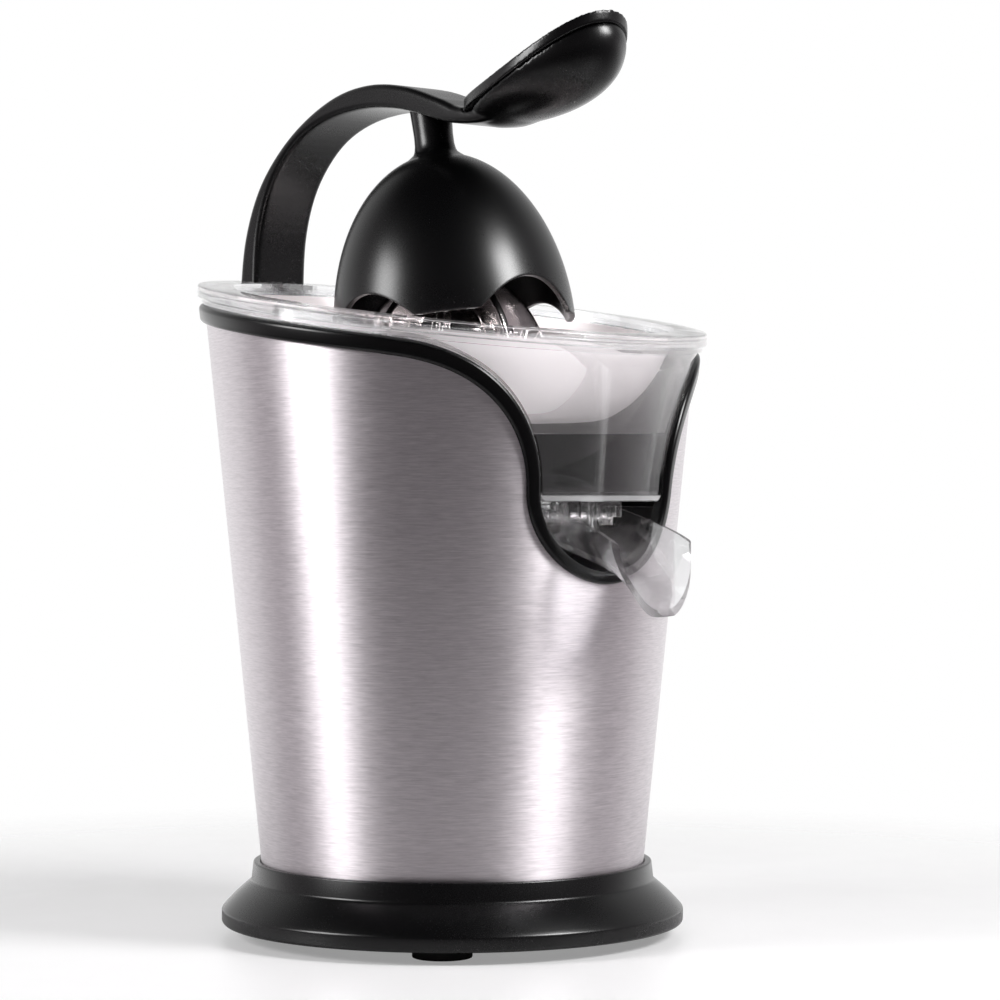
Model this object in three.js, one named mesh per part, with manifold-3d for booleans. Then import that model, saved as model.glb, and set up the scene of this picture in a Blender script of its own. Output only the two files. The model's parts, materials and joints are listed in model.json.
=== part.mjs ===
// Lever citrus press: tapered steel body on a skirted base, clear juice bowl with a tilted rim,
// steel strainer, motor-driven reamer, and a pressing dome on an arched lever hinged at the rear.
// Millimetres, +Z up. The origin is on the table at the body's axis, and the spout points to -Y.
import * as THREE from 'three';
import { mergeVertices } from 'three/addons/utils/BufferGeometryUtils.js';
import Module from 'manifold-3d';

const wasm = await Module();
wasm.setup();
const { Manifold, Mesh: SolidMesh } = wasm;

// ---------------------------------------------------------------- driving dimensions

const GAP = 0.3; // air left between pieces that touch
const FINE = 40; // facets round the large turned pieces
const COARSE = 12; // facets round the small turned pieces

// Base
const FOOT_HEIGHT = 6.5;
const FOOT_RADIUS = 11.5;
const FOOT_RING_RADIUS = 68;
const SKIRT_RADIUS = 92;
const SKIRT_UNDERSIDE = 4.8;
const SKIRT_BAND_TOP = 10.6;
const SKIRT_SHOULDER_Z = 21.9;
const SKIRT_LIP_RADIUS = 79.4;
const SKIRT_LIP_TOP = 29.35;
const SKIRT_LIP_DRAFT = 0.8; // the lip is this much wider at its foot
const SKIRT_BULGE = 1.2; // how far the shoulder swells above a straight slope
const SKIRT_CHAMFER = 1;
const SKIRT_WALL = 3;
const SHELL_SEAT_Z = 24.2;
const PLATE_THICKNESS = 2.5;
const PLATE_VENT_COUNT = 8;
const PLATE_VENT_WIDTH = 2.6;
const PLATE_VENT_LENGTH = 16;
const PLATE_VENT_RING = 44;

// Steel body, a straight cone, and its black edge trim
const SHELL_FLOOR_RADIUS = 73.35; // the cone's radius if carried down to the table
const SHELL_TAPER = 0.101; // radius gained for each millimetre of height
const SHELL_SHEET = 1;
const RIM_TILT = THREE.MathUtils.degToRad(8.24); // the mouth falls towards the spout
const SHELL_EDGE_Z = 234.9; // visible steel edge, on the axis
const EDGE_IN_TRIM = 3.2; // how far the steel runs up inside the trim
const TRIM_BAND = 7;
const TRIM_PROUD = 2.4;
const TRIM_INNER_WALL = 1.2;
const TRIM_TOP = SHELL_EDGE_Z + TRIM_BAND;

// Notch in the front of the body, for the outlet
const NOTCH_CENTRE_Z = 178.5;
const NOTCH_RADIUS = 37.4;
const NOTCH_MOUTH = 80; // half width at which the notch runs out along the rim
const TRIM_NOTCH_BAND = 4.9;
const TRIM_NOTCH_RADIUS = NOTCH_RADIUS - TRIM_NOTCH_BAND;
const UNDER_NOTCH = NOTCH_CENTRE_Z - 1.3 * NOTCH_RADIUS; // clear of the notch and its trim
const NOTCH_FACETS = 6;

// Inner housing
const HOUSING_WALL = 2.1;
const HOUSING_SPACE = 1.9; // air between steel and housing wall
const DECK_TOP = 170;
const DECK_THICKNESS = 2.4;
const POCKET_WALL = 2.2;
const POCKET_BACK = 50;
const TURRET_RADIUS = 11;
const TURRET_BORE = 6.5;
const TURRET_FOOT = 142;

// Clear bowl
const BOWL_FLOOR_Z = 172.4;
const BOWL_WALL = 2.2;
const BOWL_FLOOR_THICKNESS = 2.6;
const BOWL_FOOT_RADIUS = 84;
const BOWL_CORNER = 6;
const BOWL_MOUTH_RADIUS = 91;
const RIM_TOP = 249.6; // on the axis
const RIM_LIP = 5;
const RIM_PLATE = 2.2;
const RIM_SHELF = 8.8; // from the bowl's mouth to the skirt that covers the trim
const RIM_SKIRT_RADIUS = BOWL_MOUTH_RADIUS + RIM_SHELF;
const RIM_SKIRT_WALL = 2.2;
const RIM_OVERHANG = 1.7; // how far the lip stands out over its skirt
const RIM_RADIUS = RIM_SKIRT_RADIUS + RIM_OVERHANG;
const BAY_BACK = 45;
const CHIMNEY_BORE = 12.3;
const CHIMNEY_WALL = 2.2;
const CHIMNEY_TOP = 203.7;
const OUTLET_HALF_WIDTH = 14.35;
const OUTLET_BORE = 4.6;
const OUTLET_BORE_Y = 73.5;
const OUTLET_FRONT = OUTLET_BORE_Y + 8.1;
const OUTLET_BACK = OUTLET_BORE_Y - 12.5;
const OUTLET_UNDERSIDE = BOWL_FLOOR_Z - 9;
const OUTLET_NOZZLE_RADIUS = 7.4;
const OUTLET_NOZZLE_END = OUTLET_UNDERSIDE - 2.8;
const TURRET_DROP = 7.7; // the turret ends this far under the chimney's top
const TURRET_TOP = CHIMNEY_TOP - TURRET_DROP;

// Spout
const SPOUT_HALF_WIDTH = 21.5;
const SPOUT_REAR_SHARE = 0.92; // width at the rear against width at the lip
const SPOUT_FULLNESS = 0.8; // below one, the trough is squarer than a half ellipse
const SPOUT_DEPTH = 17.5;
const SPOUT_WALL = 2;
const SPOUT_PIN_Y = OUTLET_BACK + 3;
const SPOUT_PIN_Z = OUTLET_UNDERSIDE + 2.6;
const SPOUT_PIN_RADIUS = 1.8;
const SPOUT_TOP_LIMIT = BOWL_FLOOR_Z - 2.8;
const SPOUT_LIP_REACH = 54.5; // from the pin forward to the lip
const SPOUT_LIP_FALL = 34.5; // from the pin down to the lip
const SPOUT_LIP_LEAN = 0.27; // the lip leans back this much for each millimetre it rises
const SPOUT_WAIST_START = 14; // from the pin forward to where the trough begins to widen

// Strainer
const STRAINER_SHEET = 0.8;
const STRAINER_FLOOR_RADIUS = 61;
const STRAINER_HEEL_RADIUS = 70;
const STRAINER_HEEL_RISE = 4;
const STRAINER_SHOULDER = 6; // width of the soft bend between floor and heel
const STRAINER_SHOULDER_RISE = 1.2;
const STRAINER_DROP = 4.5; // strainer edge below the bowl's rim
const STRAINER_HOLE = 13.2;
const SLOT_RINGS = [
  { radius: 27, length: 14, count: 8 },
  { radius: 48, length: 16, count: 14 },
];
const SLOT_WIDTH = 2.4;

// Reamer and drive shaft
const PRESS_TRAVEL = 2.5;
const REAMER_CLEARANCE = 0.7; // left over the strainer when the reamer is pressed down
const REAMER_RADIUS = 39.5;
const REAMER_FOOT = CHIMNEY_TOP + GAP + STRAINER_SHEET + PRESS_TRAVEL + REAMER_CLEARANCE;
const REAMER_SKIRT = 13; // height of the straight fins under the crown
const REAMER_SPRING_Z = REAMER_FOOT + REAMER_SKIRT;
const REAMER_LIP = 2;
const REAMER_CROWN = 44;
const REAMER_TIP = 12; // depth of solid plastic at the point
const REAMER_WALL = 2.6;
const REAMER_RIBS = 8;
const REAMER_RIB_WIDTH = 3.2;
const REAMER_RIB_DEPTH = 12;
const REAMER_TURN = -5; // degrees, how the fins stand at rest
const REAMER_HUB_RADIUS = 8;
const REAMER_HUB_RECESS = 1; // the hub ends this far above the reamer's foot
const SHAFT_RADIUS = 3.5;
const SHAFT_REACH = 17; // how far the shaft runs up into the crown
const SHAFT_TOP = REAMER_SPRING_Z + SHAFT_REACH;
const SHAFT_HEX_RADIUS = 4.2;
const BUSH_WALL = 2.2;
const BUSH_RADIUS = SHAFT_RADIUS + BUSH_WALL;
const UPPER_BUSH_INSET = 2;
const UPPER_BUSH_LENGTH = 10;
const SEAL_DEPTH = 6; // how far the seal reaches down the turret
const SEAL_FLANGE = 2;
const SEAL_LIP = 3;
const SEAL_INSET = 1.5; // the flange is this much smaller than the turret

// Pressing dome
const DOME_RADIUS = 48.2;
const DOME_CROWN = 72;
const DOME_WALL = 2.6;
const DOME_LEAN = THREE.MathUtils.degToRad(9.5); // how far the lever stands above its stop
const DOME_CENTRE_Y = -1.7;
const DOME_CENTRE_Z = 240.3;
const ARCH_HEIGHT = 12.5;
const ARCH_HALF_WIDTH = 23.5;
const NECK_RADIUS = 7.9;
const DOME_BOSS_RADIUS = 5;
const DOME_SCREW_SEAT = 65; // along the dome's axis
const DOME_SCREW_TIP = 94;
const NECK_TOP = 94; // along the dome's axis, before it is fitted to the arm

// Lever and rear hinge
const HINGE_Y = 115;
const HINGE_Z = 240;
const KNUCKLE_RADIUS = 6.2;
const HINGE_PIN_RADIUS = 2.5;
const HINGE_BUSH_RADIUS = 4;
const HINGE_BUSH_LENGTH = 7;
const HINGE_SLOT_BACK = 11; // from the pin back to the slot's end, at the body
const BRACKET_BACK = 80; // inside the steel, which shapes the bracket's rear face
const BRACKET_SCREWS = [186, 214]; // heights of the two screws that hold the bracket
const BRACKET_SCREW_RECESS = 0.5;
const ARM_WIDTH = 27.7;
const ARM_ROUND = 2.4;
const CHEEK_THICKNESS = 4.8;
const CHEEK_GAP = 0.5;
const BRACKET_FOOT_Z = 176;
const BRACKET_PLATE = 4;
const KEEL_TIP = 66;
const KEEL_NOSE = 9;
const KEEL_SWEEP = 25; // how far the keel keeps its width in front of the paddle's rear
const PADDLE_REAR = 20;
const PADDLE_TIP = 90.5;
const PADDLE_HALF_WIDTH = 23.7;
const PADDLE_WIDEST = 57;
const PADDLE_REAR_HALF_WIDTH = 11;
const PADDLE_REAR_Z = 324.6;
const PADDLE_TIP_Z = 354.2;
const PADDLE_REAR_SLOPE = 0.13;
const PADDLE_DEPTH = 12.5;
const PADDLE_SINK = 1.5; // the spoon's middle lies this far under the straight line of its rim
const PAD_THICKNESS = 4.3;

// Gear train: two equal stages
const GEAR_MODULE = 1.72;
const WHEEL_TEETH = 24;
const PINION_TEETH = 8;
const MOTOR_Y = 38;
const OUTPUT_GEAR_Z = 100;
const OUTPUT_GEAR_THICKNESS = 7;
const IDLER_WHEEL_Z = 110;
const IDLER_WHEEL_THICKNESS = 6;
const IDLER_AXLE_RADIUS = 2;
const GEAR_LAND = 0.5; // the idler's pinion stands this much past each wheel
const PINION_LAND = 1; // the motor's pinion stands this much past its wheel
const PINION_HOLE = (GEAR_MODULE * (PINION_TEETH + 2)) / 2 + 1;
const GEARBOX_RADIUS = 44;
const GEARBOX_X = 8;
const GEARBOX_Y = 16;
const GEARBOX_FLOOR = 95.6;
const GEARBOX_TOP = 122;
const GEARBOX_WALL = 2.4;
const GEARBOX_COVER = 2.5;
const GEARBOX_SCREW_RING = 40;
const GEARBOX_SCREW_BITE = 16; // thread length in a gearbox post
const TOOTH_BACKLASH = 0.4;
const PRESSURE_ANGLE = THREE.MathUtils.degToRad(20);
const ROOT_DEPTH = 1.25; // in modules

// Motor
const STATOR_HALF_WIDTH = 27;
const STATOR_CORNER = 5;
const STATOR_BOTTOM = 36;
const STATOR_TOP = 65.7;
const ROTOR_RADIUS = 14.8;
const ROTOR_AIR_GAP = 0.6;
const MOTOR_SHAFT_RADIUS = 2.5;
const MOTOR_PLATE = 3;
const MOTOR_BOSS_RADIUS = 6.5;
const MOTOR_BOSS_HEIGHT = 9;
const MOTOR_LOWER_BOSS = 4;
const MOTOR_SCREW_OFFSET = 21.5;
const MOTOR_POST_RADIUS = 4;
const MOTOR_POST_OFFSET = MOTOR_SCREW_OFFSET - 6;
const COIL_WIDTH = 6;
const COIL_INSET = 1.4; // iron left between the coil and the rotor's bore
const COIL_DEPTH = 8;
const COIL_RECESS = 0.5; // the coil ends this far inside the stack
const FAN_RADIUS = 24;
const FAN_BOTTOM = 17;
const FAN_BELOW_MOTOR = 6;
const FAN_BLADES = 5;
const FAN_BLADE_HALF = 0.8;
const FAN_PITCH = 28; // degrees
const FAN_SWEEP = 9;
const FAN_HUB_WALL = 6;
const FAN_DISC = 2;

// Press-to-start mechanism under the drive shaft
const THRUST_BOTTOM = 84;
const THRUST_THICKNESS = 4;
const THRUST_RADIUS = 7.5;
const THRUST_STEM_RADIUS = 2.8;
const SPRING_SEAT_Z = 70;
const SPRING_BRIDGE_THICKNESS = 3.6;
const SPRING_RADIUS = 5;
const SPRING_WIRE = 0.7;
const SPRING_TURNS = 4;
const BRIDGE_LEG_Y = 11;
const BRIDGE_REAR = 6.8;
const BRIDGE_END = 9;
const BRIDGE_LEG_HALF = 5;
const FINGER_HALF_WIDTH = 2.6;
const FINGER_THICKNESS = 2.4;
const SWITCH_LENGTH = 20;
const SWITCH_WIDTH = 6.4;
const SWITCH_HEIGHT = 10;
const SWITCH_X = -20;
const SWITCH_HOLE = 1.2;
const SWITCH_HOLE_OFFSET = 5;
const SWITCH_HOLE_RISE = 2.5;
const BUTTON_RADIUS = 1.5;
const BUTTON_WELL = 5;
const BUTTON_SUNK = 1.5; // how much of the button stands in its well

// Fasteners and cord gland
const SCREW_RADIUS = 1.6;
const SCREW_HEAD_RADIUS = 3.4;
const SCREW_HEAD_HEIGHT = 2.2;
const SCREW_BITE = 14; // thread length in a screw tower
const SCREW_RUNOUT = 3; // bore left past a screw's tip
const FOOT_RECESS = 3; // depth of the screw recess under a foot
const TOWER_RADIUS = 4;
const GLAND_Z = 42;
const GLAND_RADIUS = 5.5;
const GLAND_BORE = 3.4;
const GLAND_FLANGE = 8;
const GLAND_DEPTH = 6;
const GLAND_EDGE = 2.4;
const GLAND_COLLAR = 3.4;

// Reach of the cutting tools, clear of every piece they cut
const HUGE = 300;
const AHEAD = 130; // in front of the body
const OVERHEAD = PADDLE_TIP_Z + 60;
const SIDE_REACH = 40;

// ---------------------------------------------------------------- finishes

const finish = (color, roughness, metalness = 0) =>
  new THREE.MeshStandardMaterial({ color, roughness, metalness });

const BLACK_PLASTIC = finish(0x141416, 0.42);
const HOUSING_PLASTIC = finish(0x0b0b0c, 0.6);
const RUBBER = finish(0x1a1a1a, 0.85);
const BRUSHED_STEEL = finish(0xb9b7ba, 0.34, 1);
const POLISHED_STEEL = finish(0xd8d8da, 0.15, 1);
const PLAIN_STEEL = finish(0x9a9ca0, 0.4, 1);
const BRONZE = finish(0x9c7440, 0.45, 1);
const COPPER = finish(0xb8642f, 0.4, 1);
const LAMINATION = finish(0x5b5e63, 0.55, 0.8);
const NYLON = finish(0xe6e2d6, 0.5);
const GREY_PLASTIC = finish(0x6a6d70, 0.5);
const CLEAR_PLASTIC = new THREE.MeshStandardMaterial({
  color: 0xeef2f4,
  roughness: 0.08,
  metalness: 0,
  transparent: true,
  opacity: 0.35,
});

// ---------------------------------------------------------------- solids

// A closed geometry as a solid that can be cut and joined.
function solid(geometry) {
  const bare = geometry.clone();
  bare.deleteAttribute('normal');
  bare.deleteAttribute('uv');
  const merged = mergeVertices(bare, 1e-4);
  const positions = merged.attributes.position.array;
  const corners = merged.index.array;
  const triangles = [];
  let volume = 0;
  const [a, b, c] = [new THREE.Vector3(), new THREE.Vector3(), new THREE.Vector3()];
  for (let i = 0; i < corners.length; i += 3) {
    const [p, q, r] = [corners[i], corners[i + 1], corners[i + 2]];
    if (p === q || q === r || r === p) {
      continue;
    }
    triangles.push([p, q, r]);
    a.fromArray(positions, 3 * p);
    b.fromArray(positions, 3 * q);
    c.fromArray(positions, 3 * r);
    volume += a.dot(b.cross(c));
  }
  const outward = volume < 0 ? triangles.map(([p, q, r]) => [p, r, q]) : triangles;
  const mesh = new SolidMesh({
    numProp: 3,
    vertProperties: new Float32Array(positions),
    triVerts: new Uint32Array(outward.flat()),
  });
  return new Manifold(mesh);
}

const join = (first, ...others) => others.reduce((sum, part) => sum.add(part), first);
const cut = (first, ...others) => others.reduce((rest, tool) => rest.subtract(tool), first);
const overlap = (first, ...others) => others.reduce((rest, tool) => rest.intersect(tool), first);

// Turned piece about Z: the profile lists [radius, height] and closes on itself or on the axis.
function turned(profile, facets = COARSE) {
  const closed = profile[0][0] === 0 ? profile : [...profile, profile[0]];
  const points = closed.map(([radius, height]) => new THREE.Vector2(radius, height));
  return solid(new THREE.LatheGeometry(points, facets).rotateX(Math.PI / 2));
}

const rod = (radius, bottom, top, facets = COARSE) =>
  turned([[0, bottom], [radius, bottom], [radius, top], [0, top]], facets);

const tube = (bore, radius, bottom, top, facets = COARSE) =>
  turned([[bore, bottom], [radius, bottom], [radius, top], [bore, top]], facets);

function block(xRange, yRange, zRange) {
  const [width, depth, height] = [xRange, yRange, zRange].map(([low, high]) => high - low);
  const centre = [xRange, yRange, zRange].map(([low, high]) => (low + high) / 2);
  return solid(new THREE.BoxGeometry(width, depth, height).translate(...centre));
}

const X = new THREE.Vector3(1, 0, 0);
const Y = new THREE.Vector3(0, 1, 0);
const Z = new THREE.Vector3(0, 0, 1);

function prism(shape, depth, curveSegments) {
  const options = { depth, bevelEnabled: false, curveSegments };
  return new THREE.ExtrudeGeometry(shape, options);
}

// A plan outline (x, y) raised from one height to another.
const raised = (shape, bottom, top, curveSegments = 12) =>
  solid(prism(shape, top - bottom, curveSegments).translate(0, 0, bottom));

// A side outline (y, z) given a width across X.
function acrossX(shape, width, curveSegments = 12) {
  const turn = new THREE.Matrix4().makeBasis(Y, Z, X);
  const geometry = prism(shape, width, curveSegments).applyMatrix4(turn);
  return solid(geometry.translate(-width / 2, 0, 0));
}

// A front outline (x, z) carried from one distance in front of the axis to another.
function towardsFront(shape, near, far, curveSegments = 12) {
  const turn = new THREE.Matrix4().makeBasis(X, Z, Y.clone().negate());
  const geometry = prism(shape, far - near, curveSegments).applyMatrix4(turn);
  return solid(geometry.translate(0, -near, 0));
}

const rodAcrossX = (radius, halfLength, y, z, facets = COARSE) =>
  rod(radius, -halfLength, halfLength, facets).rotate([0, 90, 0]).translate([0, y, z]);

const ring = (bore, radius, halfLength, x, y, z) =>
  tube(bore, radius, -halfLength, halfLength).rotate([0, 90, 0]).translate([x, y, z]);

// ---------------------------------------------------------------- shared shapes

const RIM_SLOPE = Math.tan(RIM_TILT);
const ABOVE_RIM = TRIM_TOP + 1.5 * RIM_SLOPE * BOWL_MOUTH_RADIUS; // over the mouth's highest point

const shellRadius = (z) => SHELL_FLOOR_RADIUS + SHELL_TAPER * z;

// Leans a solid's heights with the mouth of the body, so a level ring becomes a tilted one.
const tilted = (part) => part.transform([1, 0, 0, 0, 0, 1, RIM_SLOPE, 0, 0, 0, 1, 0, 0, 0, 0, 1]);

// Everything under the tilted plane that crosses the axis at this height.
const underPlane = (height) =>
  tilted(block([-HUGE, HUGE], [-HUGE, HUGE], [-HUGE, height]));

// A layer of the body's cone between two offsets from the steel's outer face.
function coneLayer(inner, outer, bottom, top) {
  return turned(
    [
      [shellRadius(bottom) + inner, bottom],
      [shellRadius(bottom) + outer, bottom],
      [shellRadius(top) + outer, top],
      [shellRadius(top) + inner, top],
    ],
    FINE,
  );
}

const coneSolid = (offset, bottom, top) =>
  turned(
    [[0, bottom], [shellRadius(bottom) + offset, bottom], [shellRadius(top) + offset, top], [0, top]],
    FINE,
  );

// The notch: a round-bottomed U whose sides swing out in two shoulder arcs along the tilted edge.
function notchShape(radius, edgeHeight) {
  const wall = shellRadius(edgeHeight);
  const back = Math.sqrt(wall ** 2 - NOTCH_MOUTH ** 2);
  const lean = Math.atan((RIM_SLOPE * NOTCH_MOUTH) / back);
  const endZ = edgeHeight - RIM_SLOPE * back;
  const rise = endZ - NOTCH_CENTRE_Z;
  const reach = radius + rise * Math.cos(lean) - NOTCH_MOUTH * Math.sin(lean);
  const shoulder = (NOTCH_MOUTH ** 2 + rise ** 2 - radius ** 2) / (2 * reach);
  const centreX = NOTCH_MOUTH + shoulder * Math.sin(lean);
  const centreZ = endZ - shoulder * Math.cos(lean);
  const toU = Math.atan2(NOTCH_CENTRE_Z - centreZ, -centreX);
  const toShoulder = Math.atan2(centreZ - NOTCH_CENTRE_Z, centreX);
  const shape = new THREE.Shape();
  shape.moveTo(NOTCH_MOUTH, HUGE);
  shape.lineTo(NOTCH_MOUTH, endZ);
  shape.absarc(centreX, centreZ, shoulder, Math.PI / 2 + lean, toU, false);
  shape.absarc(0, NOTCH_CENTRE_Z, radius, toShoulder, -Math.PI - toShoulder, true);
  shape.absarc(-centreX, centreZ, shoulder, -toShoulder, Math.PI / 2 - lean, false);
  shape.lineTo(-NOTCH_MOUTH, HUGE);
  shape.closePath();
  return shape;
}

const notchCut = (radius, edgeHeight, near = 0) =>
  towardsFront(notchShape(radius, edgeHeight), near, AHEAD, NOTCH_FACETS);

// ---------------------------------------------------------------- base

function baseSkirt() {
  const flare = [];
  const flareSteps = 3;
  for (let i = 1; i < flareSteps; i += 1) {
    const share = i / flareSteps;
    const rise = Math.sin((share * Math.PI) / 2);
    const radius = SKIRT_RADIUS + (SKIRT_LIP_RADIUS + SKIRT_LIP_DRAFT - SKIRT_RADIUS) * share;
    const straight = SKIRT_BAND_TOP + (SKIRT_SHOULDER_Z - SKIRT_BAND_TOP) * share;
    flare.push([radius, straight + SKIRT_BULGE * rise * (1 - share)]);
  }
  const seatRadius = shellRadius(SHELL_SEAT_Z) - SKIRT_WALL;
  return turned(
    [
      [SKIRT_RADIUS - SKIRT_CHAMFER, SKIRT_UNDERSIDE],
      [SKIRT_RADIUS, SKIRT_UNDERSIDE + SKIRT_CHAMFER],
      [SKIRT_RADIUS, SKIRT_BAND_TOP],
      ...flare,
      [SKIRT_LIP_RADIUS + SKIRT_LIP_DRAFT, SKIRT_SHOULDER_Z],
      [SKIRT_LIP_RADIUS, SKIRT_LIP_TOP],
      [shellRadius(SKIRT_LIP_TOP) + GAP, SKIRT_LIP_TOP],
      [shellRadius(SHELL_SEAT_Z) + GAP, SHELL_SEAT_Z],
      [seatRadius, SHELL_SEAT_Z],
      [seatRadius, SHELL_SEAT_Z - SKIRT_WALL],
      [PLATE_RADIUS - SKIRT_WALL, PLATE_TOP + GAP + SKIRT_WALL],
      [PLATE_RADIUS - SKIRT_WALL, PLATE_TOP + GAP],
      [PLATE_RADIUS + GAP, PLATE_TOP + GAP],
      [PLATE_RADIUS + GAP, SKIRT_UNDERSIDE],
    ],
    FINE,
  );
}

const PLATE_BOTTOM = FOOT_HEIGHT + GAP;
const PLATE_TOP = PLATE_BOTTOM + PLATE_THICKNESS;
const PLATE_RADIUS = SKIRT_RADIUS - 2 * SKIRT_WALL;
const TOWER_BOTTOM = PLATE_TOP + GAP;
const DECK_UNDERSIDE = DECK_TOP - DECK_THICKNESS;

const footCorners = {
  front_left: [-1, -1],
  front_right: [1, -1],
  rear_left: [-1, 1],
  rear_right: [1, 1],
};
const footPlace = ([sideX, sideY]) =>
  [sideX, sideY].map((side) => side * FOOT_RING_RADIUS * Math.SQRT1_2);

function bottomPlate() {
  const vents = [];
  for (let i = 0; i < PLATE_VENT_COUNT; i += 1) {
    const half = PLATE_VENT_LENGTH / 2;
    const slot = block(
      [PLATE_VENT_RING - half, PLATE_VENT_RING + half],
      [-PLATE_VENT_WIDTH / 2, PLATE_VENT_WIDTH / 2],
      [0, PLATE_TOP + 1],
    );
    vents.push(slot.rotate([0, 0, (360 * (i + 0.5)) / PLATE_VENT_COUNT]));
  }
  const holes = Object.values(footCorners).map((corner) =>
    rod(SCREW_RADIUS + GAP, 0, PLATE_TOP + 1, 12).translate([...footPlace(corner), 0]));
  return cut(rod(PLATE_RADIUS, PLATE_BOTTOM, PLATE_TOP, FINE), ...vents, ...holes);
}

const foot = () =>
  turned([
    [SCREW_RADIUS + GAP, FOOT_RECESS],
    [SCREW_HEAD_RADIUS + GAP, FOOT_RECESS],
    [SCREW_HEAD_RADIUS + GAP, 0],
    [FOOT_RADIUS, 0],
    [FOOT_RADIUS, FOOT_HEIGHT],
    [SCREW_RADIUS + GAP, FOOT_HEIGHT],
  ]);

// A pan-head screw pointing up: its head's bearing face is at the seat height.
const screw = (seat, tip) =>
  turned(
    [
      [0, seat - SCREW_HEAD_HEIGHT],
      [SCREW_HEAD_RADIUS, seat - SCREW_HEAD_HEIGHT],
      [SCREW_HEAD_RADIUS, seat],
      [SCREW_RADIUS, seat],
      [SCREW_RADIUS, tip],
      [0, tip + SCREW_RADIUS],
    ],
    8,
  );

const screwTower = () =>
  turned(
    [
      [SCREW_RADIUS + GAP, TOWER_BOTTOM],
      [TOWER_RADIUS, TOWER_BOTTOM],
      [TOWER_RADIUS, DECK_UNDERSIDE + 1],
      [0, DECK_UNDERSIDE + 1],
      [0, TOWER_BOTTOM + SCREW_BITE + SCREW_RUNOUT],
      [SCREW_RADIUS + GAP, TOWER_BOTTOM + SCREW_BITE + SCREW_RUNOUT],
    ],
    12,
  );

// ---------------------------------------------------------------- steel body and trim

// A cutting rod of the body's rear, from inside the wall outwards.
const rearHole = (radius, z, facets = COARSE) =>
  rod(radius, SHELL_FLOOR_RADIUS / 2, AHEAD, facets).rotate([-90, 0, 0]).translate([0, 0, z]);

const bracketScrewHoles = (radius) => BRACKET_SCREWS.map((z) => rearHole(radius, z));

function steelShell() {
  const sheet = coneLayer(-SHELL_SHEET, 0, SHELL_SEAT_Z + GAP, ABOVE_RIM);
  return cut(
    overlap(sheet, underPlane(SHELL_EDGE_Z + EDGE_IN_TRIM)),
    notchCut(NOTCH_RADIUS - EDGE_IN_TRIM, SHELL_EDGE_Z + EDGE_IN_TRIM),
    rearHole(GLAND_RADIUS + GAP, GLAND_Z, 16),
    ...bracketScrewHoles(SCREW_RADIUS + GAP),
  );
}

function shellTrim() {
  const inner = -(SHELL_SHEET + GAP + TRIM_INNER_WALL);
  const body = cut(
    overlap(coneLayer(inner, TRIM_PROUD, UNDER_NOTCH, ABOVE_RIM), underPlane(TRIM_TOP)),
    notchCut(TRIM_NOTCH_RADIUS, TRIM_TOP),
  );
  const steelZone = cut(
    underPlane(SHELL_EDGE_Z),
    notchCut(NOTCH_RADIUS, SHELL_EDGE_Z),
  );
  const channel = cut(
    overlap(
      coneLayer(-SHELL_SHEET - GAP, GAP, UNDER_NOTCH - 1, ABOVE_RIM + 1),
      underPlane(SHELL_EDGE_Z + EDGE_IN_TRIM + GAP),
    ),
    notchCut(NOTCH_RADIUS - EDGE_IN_TRIM - GAP, SHELL_EDGE_Z + EDGE_IN_TRIM + GAP),
  );
  return cut(body, steelZone, channel);
}

// ---------------------------------------------------------------- inner housing

const HOUSING_OUTER = -(SHELL_SHEET + HOUSING_SPACE);
const HOUSING_INNER = HOUSING_OUTER - HOUSING_WALL;

const gearboxScrewPlaces = [60, 180, 300].map((degrees) => {
  const angle = THREE.MathUtils.degToRad(degrees);
  return [
    GEARBOX_X + GEARBOX_SCREW_RING * Math.cos(angle),
    GEARBOX_Y + GEARBOX_SCREW_RING * Math.sin(angle),
  ];
});

function innerHousing() {
  const notch = notchCut(NOTCH_RADIUS, SHELL_EDGE_Z);
  const wall = overlap(
    coneLayer(HOUSING_INNER, HOUSING_OUTER, DECK_UNDERSIDE, ABOVE_RIM),
    underPlane(TRIM_TOP - GAP),
  );
  const deck = coneSolid(HOUSING_OUTER - 0.5, DECK_UNDERSIDE, DECK_TOP);
  const pocketOuter = towardsFront(
    notchShape(TRIM_NOTCH_RADIUS + POCKET_WALL, TRIM_TOP),
    POCKET_BACK - POCKET_WALL, AHEAD, NOTCH_FACETS);
  const pocket = overlap(
    cut(pocketOuter, notchCut(TRIM_NOTCH_RADIUS, TRIM_TOP, POCKET_BACK)),
    coneSolid(HOUSING_OUTER, UNDER_NOTCH, DECK_TOP),
  );
  const pocketVoid = notchCut(TRIM_NOTCH_RADIUS, TRIM_TOP, POCKET_BACK);
  const turret = rod(TURRET_RADIUS, TURRET_FOOT, TURRET_TOP, 24);
  const posts = gearboxScrewPlaces.map(([x, y]) =>
    rod(TOWER_RADIUS, GEARBOX_TOP + GEARBOX_COVER + GAP, DECK_TOP - 1, 12).translate([x, y, 0]));
  const postBores = gearboxScrewPlaces.map(([x, y]) =>
    rod(SCREW_RADIUS + GAP, GEARBOX_TOP, GEARBOX_TOP + GEARBOX_SCREW_BITE + 2 * SCREW_RUNOUT, 12)
      .translate([x, y, 0]));
  const towers = Object.values(footCorners).map((corner) =>
    screwTower().translate([...footPlace(corner), 0]));
  const whole = join(cut(wall, notch), cut(deck, pocketVoid), pocket, turret, ...posts, ...towers);
  return cut(
    whole,
    rod(TURRET_BORE, TURRET_FOOT - 1, TURRET_TOP + 1, 20),
    ...postBores,
    ...bracketScrewHoles(SCREW_RADIUS + GAP),
  );
}

// ---------------------------------------------------------------- bowl

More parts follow.
